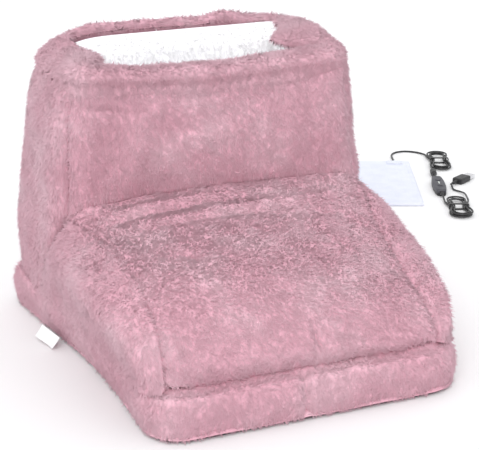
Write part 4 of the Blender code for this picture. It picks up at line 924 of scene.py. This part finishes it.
def dress_base():
    low, rounding = SOLE_THICKNESS + GAP, BAND_EDGE
    section = smooth_loop(
        (
            (BAND_WALL, low),
            (SOLE_INSET + 0.0020, low),
            (SOLE_INSET - 0.0010, low - 0.0014),
            (0.0036, 0.0010),
            (0.0002, 0.0040),
            (-BAND_BULGE, (low + BASE_TOP) / 2),
            (0, BASE_TOP - rounding * 0.8),
            (rounding * 0.55, BASE_TOP - 0.0012),
            (rounding * 1.6, BASE_TOP),
            (BAND_WALL, BASE_TOP),
            (BAND_WALL, (low + BASE_TOP) / 2),
        ),
        CURVE_STEPS,
    )
    shares = loop_shares(lambda t: base_outline(min(t, LAST_SHARE), 0), CELL)
    grid = np.array([[(*base_outline(t, depth), z) for depth, z in section.tolist()] for t in shares])
    normals = band_normals(grid)
    outside = smooth_step(BAND_WALL - section[:, 0], 0.002, 0.012)[None, :]
    lengths = np.array(shares)[:, None]
    folds = 0
    for share, half, height in BAND_FOLDS:
        folds = folds + height * np.exp(-(((lengths - share) * BAND_ROUND / half) ** 2))
    raised = sum(lumps(grid, *layer) for layer in BAND_LUMPS) + folds
    skin = settled(grid + normals * ((raised - BAND_DEPTH) * outside)[..., None])
    floor = np.where(section[:, 0] > SOLE_INSET - 0.0005, low, 0.0008)[None, :]
    skin[..., 2] = np.clip(skin[..., 2], floor, BASE_TOP + 0.0004)
    mesh = band_mesh("base_band_plush", skin)
    set_pile(mesh, SKIN_SHADE)
    piece = add_piece("base_band_plush", mesh, FUR, "base_fur_band")
    cut_pocket(piece)

    def kept(root):
        x, y, z = np.abs(root[:, 0]), root[:, 1], root[:, 2]
        behind_flap = (x < FLAP_WIDTH / 2) & (y > BARE_BEHIND_Y)
        under_wall = (z > BASE_TOP - BARE_TOP_DEPTH) & (x < BARE_HALF_WIDTH) & (y > BARE_FRONT_Y)
        return ~(behind_flap | under_wall) & (z > BARE_LOW)

    pile("base_band_pile", band_surface(skin, BAND_SEEN), BAND_LOOK, (0, 0, -1), 6, keep=kept)


PLATE_EDGE, PLATE_LUMP_SIZE, FOOTBED_PILE = 0.0008, 0.05, 0.003


def plate_grid(outline, count):
    """A square grid of points spread inside an outline, given round it once from +x."""
    grid = np.zeros((count + 1, count + 1, 2))
    for i in range(count + 1):
        for j in range(count + 1):
            a, b = 2 * i / count - 1, 2 * j / count - 1
            reach = max(abs(a), abs(b))
            grid[i, j] = Vector(outline(math.atan2(b, a) / (4 * QUARTER_TURN) % 1)) * reach
    return grid


def plate_shell(name, flat, low, high, rounding, lump=0, seed=1):
    """A closed soft plate whose upper edges are rounded."""
    count = flat.shape[0] - 1
    a = np.abs(2 * np.arange(count + 1) / count - 1)
    inwards = 1 - np.maximum(a[:, None], a[None, :])
    share = np.clip(inwards * np.linalg.norm(flat, axis=2).max() / rounding, 0, 1)
    top = low + PLATE_EDGE + (high - low - PLATE_EDGE) * np.sqrt(1 - (1 - share) ** 2)
    upper = np.concatenate([flat, top[..., None]], axis=2)
    upper[..., 2] += lumps(upper, PLATE_LUMP_SIZE, lump, seed) * share
    lower = np.concatenate([flat, np.full(flat.shape[:2] + (1,), low)], axis=2)
    return upper, shell_mesh(name, upper, lower)


def dress_inside():
    """The foam block, the sole and the footbed."""
    flat = plate_grid(lambda t: base_outline(t, BAND_WALL + GAP), 40)
    _, mesh = plate_shell("cushion_foam", flat, SOLE_THICKNESS + GAP, BASE_TOP, rounding=0.0006)
    foam = add_piece("cushion_foam", mesh, FOAM, "base_foam", smooth=False)
    cut_pocket(foam)
    flat = plate_grid(lambda t: base_outline(t, SOLE_INSET), 72)
    _, mesh = plate_shell("sole_fabric_sheet", flat, 0, SOLE_THICKNESS, rounding=0.0016)
    points = settled([tuple(vertex.co) for vertex in mesh.vertices])
    mesh.vertices.foreach_set("co", points.astype(np.float32).ravel())
    sole = add_piece("sole_fabric_sheet", mesh, SOLE, "sole_sheet")
    half = min(SHAFT_HALF_WIDTH - WALL_THICKNESS, TOE_FOOT_HALF_WIDTH - TOE_WALL) - FOOTBED_SIDE_GAP
    back, front = SHAFT_BACK_Y - WALL_THICKNESS, TOE_FRONT_Y + TOE_WALL + FOOTBED_FRONT_GAP
    radius, middle = SHAFT_BACK_RADIUS - WALL_THICKNESS, (back + front) / 2
    flat = plate_grid(lambda t: rounded_outline(t, half, (back - front) / 2, radius, 0.4), 60)
    low, high = BASE_TOP + GAP, BASE_TOP + GAP + FOOTBED_THICKNESS - FOOTBED_PILE
    upper, mesh = plate_shell("footbed_fleece", flat, low, high, rounding=0.012, lump=0.0010, seed=4)
    mesh.transform(Matrix.Translation((0, middle, 0)))
    upper[..., 1] += middle
    piece = add_piece("footbed_fleece", mesh, LINING, "footbed_plush")
    pile("footbed_fleece_pile", (upper, grid_normals(upper)), LINING_LOOK, LEVEL, 8)


# The flap's skin: how deep it lies, how much deeper at its edge and how far in, and its lumps
FLAP_DEPTH, FLAP_TUCK, FLAP_TUCK_REACH, FLAP_LUMPS = 0.0014, 0.0016, 0.004, (0.03, 0.0004, 51)


def dress_flap():
    half, outer_y, inner_y = FLAP_WIDTH / 2, BASE_HALF_LENGTH + GAP + FLAP_THICKNESS, BASE_HALF_LENGTH + GAP

    def place(u, v, w):
        x, z = half - FLAP_WIDTH * u, FLAP_TOP_Z - FLAP_HEIGHT * (1 - v)
        return Vector((x, blend(outer_y, inner_y, w), z))

    columns, rows = 84, 14
    us, vs = np.linspace(0, 1, columns + 1), np.linspace(0, 1, rows + 1)
    outer, inner = grid_of(place, us, vs, 0), grid_of(place, us, vs, 1)
    from_side, from_end = np.minimum(us, 1 - us) * FLAP_WIDTH, np.minimum(vs, 1 - vs) * FLAP_HEIGHT
    edge = np.minimum(from_side[:, None], from_end[None, :])
    skin = outer.copy()
    tucked = FLAP_TUCK * np.clip(1 - edge / FLAP_TUCK_REACH, 0, 1) ** 2
    skin[..., 1] -= FLAP_DEPTH + tucked - lumps(outer, *FLAP_LUMPS)
    mesh = closed_shell("pocket_flap_plush", skin, inner, False)
    set_pile(mesh, SKIN_SHADE)
    piece = add_piece("pocket_flap_plush", mesh, FUR, "pocket_flap", body="pocket_flap")
    pile("pocket_flap_pile", (skin, grid_normals(skin)), FLAP_LOOK, (0, 0, -1), 9, body="pocket_flap")


# Care label, left bare
LABEL_TOP = ((-0.1800, 0.0700, 0.0150), (-0.1715, 0.0370, 0.0125))
LABEL_FALL = Vector((-0.0068, -0.0010, -0.0112))
LABEL_THICKNESS, LABEL_WAVE, LABEL_WAVES, LABEL_CURL = 0.0005, 0.0012, 2.2, 0.0018


def dress_label():
    start, end = (Vector(corner) for corner in LABEL_TOP)
    columns, rows = 40, 16

    def place(u, v, w):
        point = start.lerp(end, u) + LABEL_FALL * v
        out = LABEL_FALL.cross(end - start).normalized()
        wave = LABEL_WAVE * math.sin(LABEL_WAVES * math.pi * u) * v + LABEL_CURL * v * v
        return point + out * (wave + LABEL_THICKNESS * w)

    us, vs = np.linspace(0, 1, columns + 1), np.linspace(0, 1, rows + 1)
    mesh = shell_mesh("bare_label_tape", grid_of(place, us, vs, 1), grid_of(place, us, vs, 0))
    piece = add_piece("bare_label_tape", mesh, TAPE, "care_label")


# Cords: their points are those of the solids, in the pad set's frame
SET_MATRIX = Matrix.Translation(
    (
        SET_RIGHT * math.cos(-SET_TURN) + SET_AWAY * math.sin(-SET_TURN),
        -SET_RIGHT * math.sin(-SET_TURN) + SET_AWAY * math.cos(-SET_TURN),
        0,
    )
) @ Matrix.Rotation(SET_TURN, 4, "Z")
CORD_RADIUS, LOOP_COUNT, RUN_COUNT, HALF_LOOP = CORD_DIAMETER / 2, 24, 5, 12
HANK_1_TURNS, HANK_2_TURNS = 3 + RUN_COUNT / LOOP_COUNT, 3.5 + RUN_COUNT / LOOP_COUNT
LEAD_Z, STRAIGHT, TAIL_SHARES = 0.0020, 1.5 * CORD_DIAMETER, (0, 0.3, 0.7, 1)
CONTROLLER_MIDDLE, PLUG_MIDDLE = CONTROLLER_HEIGHT / 2, PLUG_BODY_HEIGHT / 2
LEAD_ROUTE = (
    (0.1600, 0.2120, 0.0016),
    (0.1660, 0.2255, 0.0015),
    (0.1800, 0.2320, 0.0015),
    (0.1960, 0.2275, 0.0016),
    (0.2060, 0.2160, 0.0022),
)
PLUG_ROUTE = (
    (0.2375, 0.0330, 0.0052),
    (0.2350, 0.0480, 0.0028),
    (0.2270, 0.0610, 0.0018),
    (0.2260, 0.0740, 0.0030),
)


def smooth_route(points, steps=4):
    route = [Vector(point) for point in points]
    result = [route[0]]
    for i in range(1, len(route) - 2):
        result += [on_curve(*route[i - 1 : i + 3], step / steps) for step in range(steps)]
    return result + route[-2:]


def finer(points, steps=3):
    """The same curve with more points, and none closer than half a millimetre."""
    apart = [points[0]]
    for point in points[1:-1]:
        if (point - apart[-1]).length > 0.0005 and (point - points[-1]).length > 0.0005:
            apart.append(point)
    apart.append(points[-1])
    ends = [2 * apart[0] - apart[1], *apart, 2 * apart[-1] - apart[-2]]
    result = []
    for around in zip(ends, ends[1:], ends[2:], ends[3:]):
        result += [on_curve(*around, step / steps) for step in range(steps)]
    return result + [apart[-1]]


def hank_shape(turns, run_half):
    turning = turns / 2
    points = []
    for i in range(round(turns * LOOP_COUNT) + 1):
        turn = i / LOOP_COUNT
        radius = HANK_RADIUS - HANK_STEP * (turning - abs(turn - turning))
        place = i % LOOP_COUNT
        side = -1 if place < HALF_LOOP else 1
        local = place % HALF_LOOP
        if local <= RUN_COUNT:
            x, y = side * radius, side * run_half * (2 * local / RUN_COUNT - 1)
        else:
            angle = math.pi * (local - RUN_COUNT) / (HALF_LOOP - RUN_COUNT)
            x, y = side * radius * math.cos(angle), side * (run_half + radius * math.sin(angle))
        x *= 1 - HANK_WAIST_SHARE * math.exp(-((y / HANK_WAIST_REACH) ** 2))
        z = HANK_LIFT + HANK_LAYER * ease((turn - turning + 0.25) / 0.5)
        points.append(Vector((x, y, z)))
    return points


def placed_hank(turns, top, length):
    centre = Vector((COLUMN_X + HANK_RADIUS, top - length / 2, 0))
    return [centre + point for point in hank_shape(turns, length / 2 - HANK_RADIUS - CORD_RADIUS)]


def plug_point(x, y, z):
    cosine, sine = math.cos(PLUG_TURN), math.sin(PLUG_TURN)
    return Vector((PLUG_X + x * cosine - y * sine, PLUG_Y + x * sine + y * cosine, z))


def cord_run(name, points, *nodes):
    places = [SET_MATRIX @ point for point in points]
    curve = bpy.data.curves.new(name, "CURVE")
    curve.dimensions, curve.twist_mode = "3D", "MINIMUM"
    curve.bevel_depth, curve.bevel_resolution, curve.use_fill_caps = CORD_RADIUS, 3, True
    spline = curve.splines.new("POLY")
    spline.points.add(len(places) - 1)
    spline.use_smooth = True
    for target, point in zip(spline.points, places):
        target.co = (*point, 1.0)
    piece = add_piece(name, curve, CORD, *nodes, smooth=False)
    return piece, places[0], sum((b - a).length for a, b in zip(places, places[1:]))


def dress_cords():
    relief_end = PAD_SIZE + PAD_RELIEF_LENGTH + 2 * GAP
    first = placed_hank(HANK_1_TURNS, HANK_1_TOP, HANK_1_LENGTH)
    lead = [(LEAD_X, relief_end, LEAD_Z), (LEAD_X, relief_end + STRAIGHT, LEAD_Z), *LEAD_ROUTE]
    lead += [first[0] + Vector((0, STRAIGHT + GAP, 0)), first[0] + Vector((0, GAP, 0))]
    drop = first[-1].y - CONNECTOR_TOP - GAP
    tail = [
        Vector((COLUMN_X, first[-1].y - drop * share, blend(first[-1].z, CONNECTOR_Z, ease(share / 0.8))))
        for share in TAIL_SHARES[1:]
    ]
    whole = finer(smooth_route(lead) + first + tail)
    lead_cord, lead_exit, lead_length = cord_run("lead_cord", whole, "pad_lead", "cord_hank_1")
    connector_end = CONNECTOR_TOP - 2 * CONNECTOR_LENGTH - 2 * GAP
    controller_end = CONTROLLER_CENTRE_Y + CONTROLLER_LENGTH / 2 + CONTROLLER_RELIEF + 2 * GAP
    link_ends = (COLUMN_X, connector_end, CONNECTOR_Z), (COLUMN_X, controller_end, CONTROLLER_MIDDLE)
    link = [Vector(blend(*place, share) for place in zip(*link_ends)) for share in TAIL_SHARES]
    link_cord, _, link_length = cord_run("link_cord_run", link, "link_cord")
    second = placed_hank(HANK_2_TURNS, HANK_2_TOP, HANK_2_LENGTH)
    low_end = CONTROLLER_CENTRE_Y - CONTROLLER_LENGTH / 2 - CONTROLLER_RELIEF - 2 * GAP
    start = second[0] + Vector((0, GAP, 0))
    joint = [
        (COLUMN_X, low_end, CONTROLLER_MIDDLE),
        (COLUMN_X, low_end - STRAIGHT, CONTROLLER_MIDDLE),
        start + Vector((0, STRAIGHT, 0)),
        start,
    ]
    leave = second[-1] + Vector((0, GAP, 0))
    into = plug_point(0, -PLUG_RELIEF_LENGTH - GAP, PLUG_MIDDLE)
    before = plug_point(0, -PLUG_RELIEF_LENGTH - GAP - STRAIGHT, PLUG_MIDDLE)
    out = [leave, leave + Vector((0, STRAIGHT, 0)), *PLUG_ROUTE, before, into]
    whole = finer(smooth_route(joint) + second + smooth_route(out))
    nodes = ("controller_cord", "cord_hank_2", "plug_lead")
    tail_cord, tail_exit, tail_length = cord_run("tail_cord", whole, *nodes)
    print("cord lengths", round(lead_length, 4), round(link_length, 4), round(tail_length, 4))
    controller = [f"controller_{word}" for word in ("relief_front", "lower_shell", "upper_shell", "board")]
    controller += ["controller_relief_back", "button_heat", "button_timer", "status_lamp_strip"]
    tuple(lead_exit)
    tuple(tail_exit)


# Heating pad
PAD_TOP = 2 * PAD_SHEET + PAD_CORE
WIRE_RUNS, WIRE_MARGIN, HEM = 9, 0.0180, 0.0060
QUILT_HEIGHT, QUILT_REACH, DENT_DEPTH, DENT_REACH = 0.00045, 0.0022, 0.00030, 0.0012
SHEET_LUMPS, HEM_HEIGHT = (0.03, 0.0003, 61), 0.0004
# Length and width of a stitch
HEM_STITCH, PATCH_STITCH = (0.0024, 0.0006), (0.0018, 0.0005)
PATCH_WIDTH, PATCH_LENGTH, PATCH_THICKNESS, PATCH_INSET = 0.0220, 0.0140, 0.0006, 0.0018


def pad_relief(x, y):
    """Height of the quilting over the wire's runs, with the dents of its stitches beside them."""
    pitch = (PAD_SIZE - 2 * WIRE_MARGIN) / (WIRE_RUNS - 1)
    inside = (x > WIRE_MARGIN - pitch / 2) & (x < PAD_SIZE - WIRE_MARGIN + pitch / 2)
    inside &= (y > WIRE_MARGIN - pitch / 4) & (y < PAD_SIZE - WIRE_MARGIN + pitch / 4)
    phase = (x - WIRE_MARGIN) / pitch
    away = np.abs(phase - np.round(phase)) * pitch
    squares = (y - WIRE_MARGIN) / (2 * pitch)
    row = np.abs(squares - np.round(squares)) * 2 * pitch
    raised = QUILT_HEIGHT * np.exp(-((away / QUILT_REACH) ** 2))
    raised = raised - DENT_DEPTH * np.exp(-((row / DENT_REACH) ** 2))
    return np.where(inside, raised, 0)


def pad_lines(reach):
    """Lines of the sheet across the pad, two of them outside its edge, where the cloth turns down."""
    inner = np.linspace(0.0014, PAD_SIZE - 0.0014, 125)
    edge = np.array([-reach, -reach, 0.0003])
    return np.concatenate([edge, inner, PAD_SIZE - edge[::-1]])


def pad_top_sheet():
    low = PAD_SHEET + PAD_CORE
    grids = []
    for reach, rise in ((0.0007, PAD_SHEET), (0.0004, 0)):
        line = pad_lines(reach)
        x, y = np.meshgrid(line, line, indexing="ij")
        edge = np.minimum(np.minimum(x, PAD_SIZE - x), np.minimum(y, PAD_SIZE - y))
        order = np.minimum(np.arange(line.size), np.arange(line.size)[::-1])
        order = np.minimum(order[:, None], order[None, :])
        z = np.full(x.shape, low)
        if rise:
            z = z + rise + pad_relief(x, y) + lumps(np.dstack([x, y, x * 0]), *SHEET_LUMPS)
            hem_end = 1 - smooth_step(edge, HEM - 0.001, HEM + 0.0006)
            z += HEM_HEIGHT * smooth_step(edge, 0, 0.002) * hem_end
        z = np.where(order == 1, low + rise * 0.4, z)
        z = np.where(order == 0, PAD_SHEET / 2, z)
        grids.append(np.dstack([x, y, z]))
    mesh = shell_mesh("pad_quilted_top", *grids)
    mesh.transform(SET_MATRIX)
    return add_piece("pad_quilted_top", mesh, PAD_CLOTH, "pad_sheet_top")


def pad_bottom_sheet():
    line = np.linspace(0, PAD_SIZE, 61)
    x, y = np.meshgrid(line, line, indexing="ij")
    upper = np.dstack([x, y, np.full(x.shape, PAD_SHEET)])
    mesh = shell_mesh("pad_plain_bottom", upper, np.dstack([x, y, np.full(x.shape, 0.0)]))
    mesh.transform(SET_MATRIX)
    return add_piece("pad_plain_bottom", mesh, PAD_CLOTH, "pad_sheet_bottom")


# A stitch: its points as shares of its length, of its width and of its height, and its faces
STITCH_POINTS = (
    *((-0.5, 0, 0), (-0.3, 0.5, 0), (0.3, 0.5, 0), (0.5, 0, 0)),
    *((0.3, -0.5, 0), (-0.3, -0.5, 0), (-0.25, 0, 1), (0.25, 0, 1)),
)
STITCH_FACES = (
    *((0, 5, 6), (5, 4, 7), (5, 7, 6), (4, 3, 7), (3, 2, 7), (2, 1, 6)),
    *((2, 6, 7), (1, 0, 6), (0, 1, 2), (0, 2, 3), (0, 3, 4), (0, 4, 5)),
)
STITCH_PITCH_SHARE, STITCH_HEIGHT_SHARE = 1.45, 0.6


def stitches(name, rows, length, width):
    """Rows of stitches: each a low bead of thread, given as (start, end, height) in the pad's frame."""
    points, faces = [], []
    for start, end, height in rows:
        start, end = Vector(start), Vector(end)
        run = (end - start).length
        way = (end - start) / run
        side = Vector((-way.y, way.x))
        for k in range(int(run / (length * STITCH_PITCH_SHARE))):
            middle = start + way * (length * STITCH_PITCH_SHARE * (k + 0.5))
            base = len(points)
            for along, across, up in STITCH_POINTS:
                flat = middle + way * (length * along) + side * (width * across)
                points.append((flat.x, flat.y, height + up * width * STITCH_HEIGHT_SHARE))
            faces += [[base + corner for corner in face] for face in STITCH_FACES]
    mesh = mesh_of(name, points, faces)
    mesh.transform(SET_MATRIX)
    return add_piece(name, mesh, THREAD, smooth=False)


def dress_pad():
    top, bottom = pad_top_sheet(), pad_bottom_sheet()
    inset = HEM - 0.0012
    far = PAD_SIZE - inset
    height = PAD_TOP + 0.0002
    corners = ((inset, inset), (far, inset), (far, far), (inset, far))
    hem_rows = [(a, b, height) for a, b in zip(corners, corners[1:] + corners[:1])]
    hem_thread = stitches("pad_hem_stitches", hem_rows, *HEM_STITCH)
    low = PAD_TOP + GAP
    count = 24
    x, y = np.meshgrid(
        np.linspace(LEAD_X - PATCH_WIDTH / 2, LEAD_X + PATCH_WIDTH / 2, count + 1),
        np.linspace(PAD_SIZE - PATCH_LENGTH, PAD_SIZE, count + 1),
        indexing="ij",
    )
    edge = np.minimum(y - PAD_SIZE + PATCH_LENGTH, PAD_SIZE - y)
    edge = np.minimum(PATCH_WIDTH / 2 - np.abs(x - LEAD_X), edge)
    raised = low + PATCH_THICKNESS * np.sqrt(np.clip(edge / 0.0008, 0.04, 1))
    raised += 0.0006 * np.exp(-(((x - LEAD_X) / 0.0022) ** 2)) * smooth_step(edge, 0, 0.002)
    mesh = shell_mesh("pad_patch_cloth", np.dstack([x, y, raised]), np.dstack([x, y, np.full(x.shape, low)]))
    mesh.transform(SET_MATRIX)
    patch = add_piece("pad_patch_cloth", mesh, PAD_CLOTH, "pad_lead_patch")
    left, right = LEAD_X - PATCH_WIDTH / 2 + PATCH_INSET, LEAD_X + PATCH_WIDTH / 2 - PATCH_INSET
    near, away = PAD_SIZE - PATCH_LENGTH + PATCH_INSET, PAD_SIZE - PATCH_INSET
    height = low + PATCH_THICKNESS
    box = ((left, near), (right, near), (right, away), (left, away))
    rows = [(a, b, height) for a, b in zip(box, box[1:] + box[:1])]
    rows += [((left, near), (right, away), height), ((right, near), (left, away), height)]
    patch_thread = stitches("pad_patch_stitches", rows, *PATCH_STITCH)


def dress(material, *names):
    """A CAD node that keeps its shape gets its real material."""
    for name in names:
        for place in bpy.data.objects[name].material_slots:
            place.link = "OBJECT"
            place.material = material


def dress_nodes():
    walls = [f"shaft_{word}_wadding" for word in ("front", "right", "left", "back")]
    walls += [f"toe_{word}_wadding" for word in ("top", "right", "left")]
    dress(WADDING, *walls)
    dress(PAD_CLOTH, "pad_edge_seam")
    dress(WIRE, "pad_heating_wire")
    dress(BLACK, "connector_socket", "connector_plug", "pad_lead_relief", "controller_relief_front")
    dress(BLACK, "controller_relief_back", "usb_relief", "usb_overmould", "controller_lower_shell")
    dress(BLACK, "cord_hank_1_tie", "cord_hank_2_tie", "key_switch_heat", "key_switch_timer")
    dress(BLACK, "pad_thermostat")
    dress(GREY, "controller_upper_shell", "button_heat", "button_timer")
    dress(BOARD, "controller_board")
    dress(LAMP, "status_lamp_strip")
    dress(METAL, "usb_shell")
    dress(TONGUE, "usb_tongue")


# Stage and light
def make_stage():
    mesh = mesh_of("floor", [(-6, -6, 0), (6, -6, 0), (6, 6, 0), (-6, 6, 0)], [(0, 1, 2, 3)])
    floor = bpy.data.objects.new("floor", mesh)
    bpy.context.scene.collection.objects.link(floor)
    g = Graph("floor_white")
    g.set(Base_Color=(0.92, 0.92, 0.92, 1.0), Roughness=0.9, Specular_IOR_Level=0.1)
    mesh.materials.append(g.material)
    world = bpy.data.worlds.new("studio")
    bpy.context.scene.world = world
    world.use_nodes = True
    tree = world.node_tree
    tree.nodes.clear()
    rays = add_node(tree, "LightPath").outputs
    seen = rays["Is Camera Ray"]
    for kind in ("Is Glossy Ray", "Is Transmission Ray"):
        seen = add_node(tree, "Math", {0: seen, 1: rays[kind]}, operation="MAXIMUM").outputs[0]
    light = add_node(tree, "Background", {"Color": (0.98, 0.985, 1.0, 1), "Strength": 0.98})
    white = add_node(tree, "Background", {"Color": (1, 1, 1, 1), "Strength": 1.0})
    mixed = add_node(tree, "MixShader", {0: seen, 1: light.outputs[0], 2: white.outputs[0]})
    add_node(tree, "OutputWorld", {"Surface": mixed.outputs[0]})
    sun_data = bpy.data.lights.new("key", "SUN")
    sun_data.energy, sun_data.angle = 1.3, math.radians(40)
    sun = bpy.data.objects.new("key", sun_data)
    sun.rotation_euler = Vector((-0.60, -1.0, 0.95)).to_track_quat("Z", "Y").to_euler()
    bpy.context.scene.collection.objects.link(sun)
    bpy.context.scene.view_settings.view_transform = "Standard"


make_camera()
dress_cords()
dress_pad()
dress_nodes()
dress_walls()
dress_linings()
dress_rim()
dress_base()
dress_inside()
dress_flap()
dress_label()
make_stage()
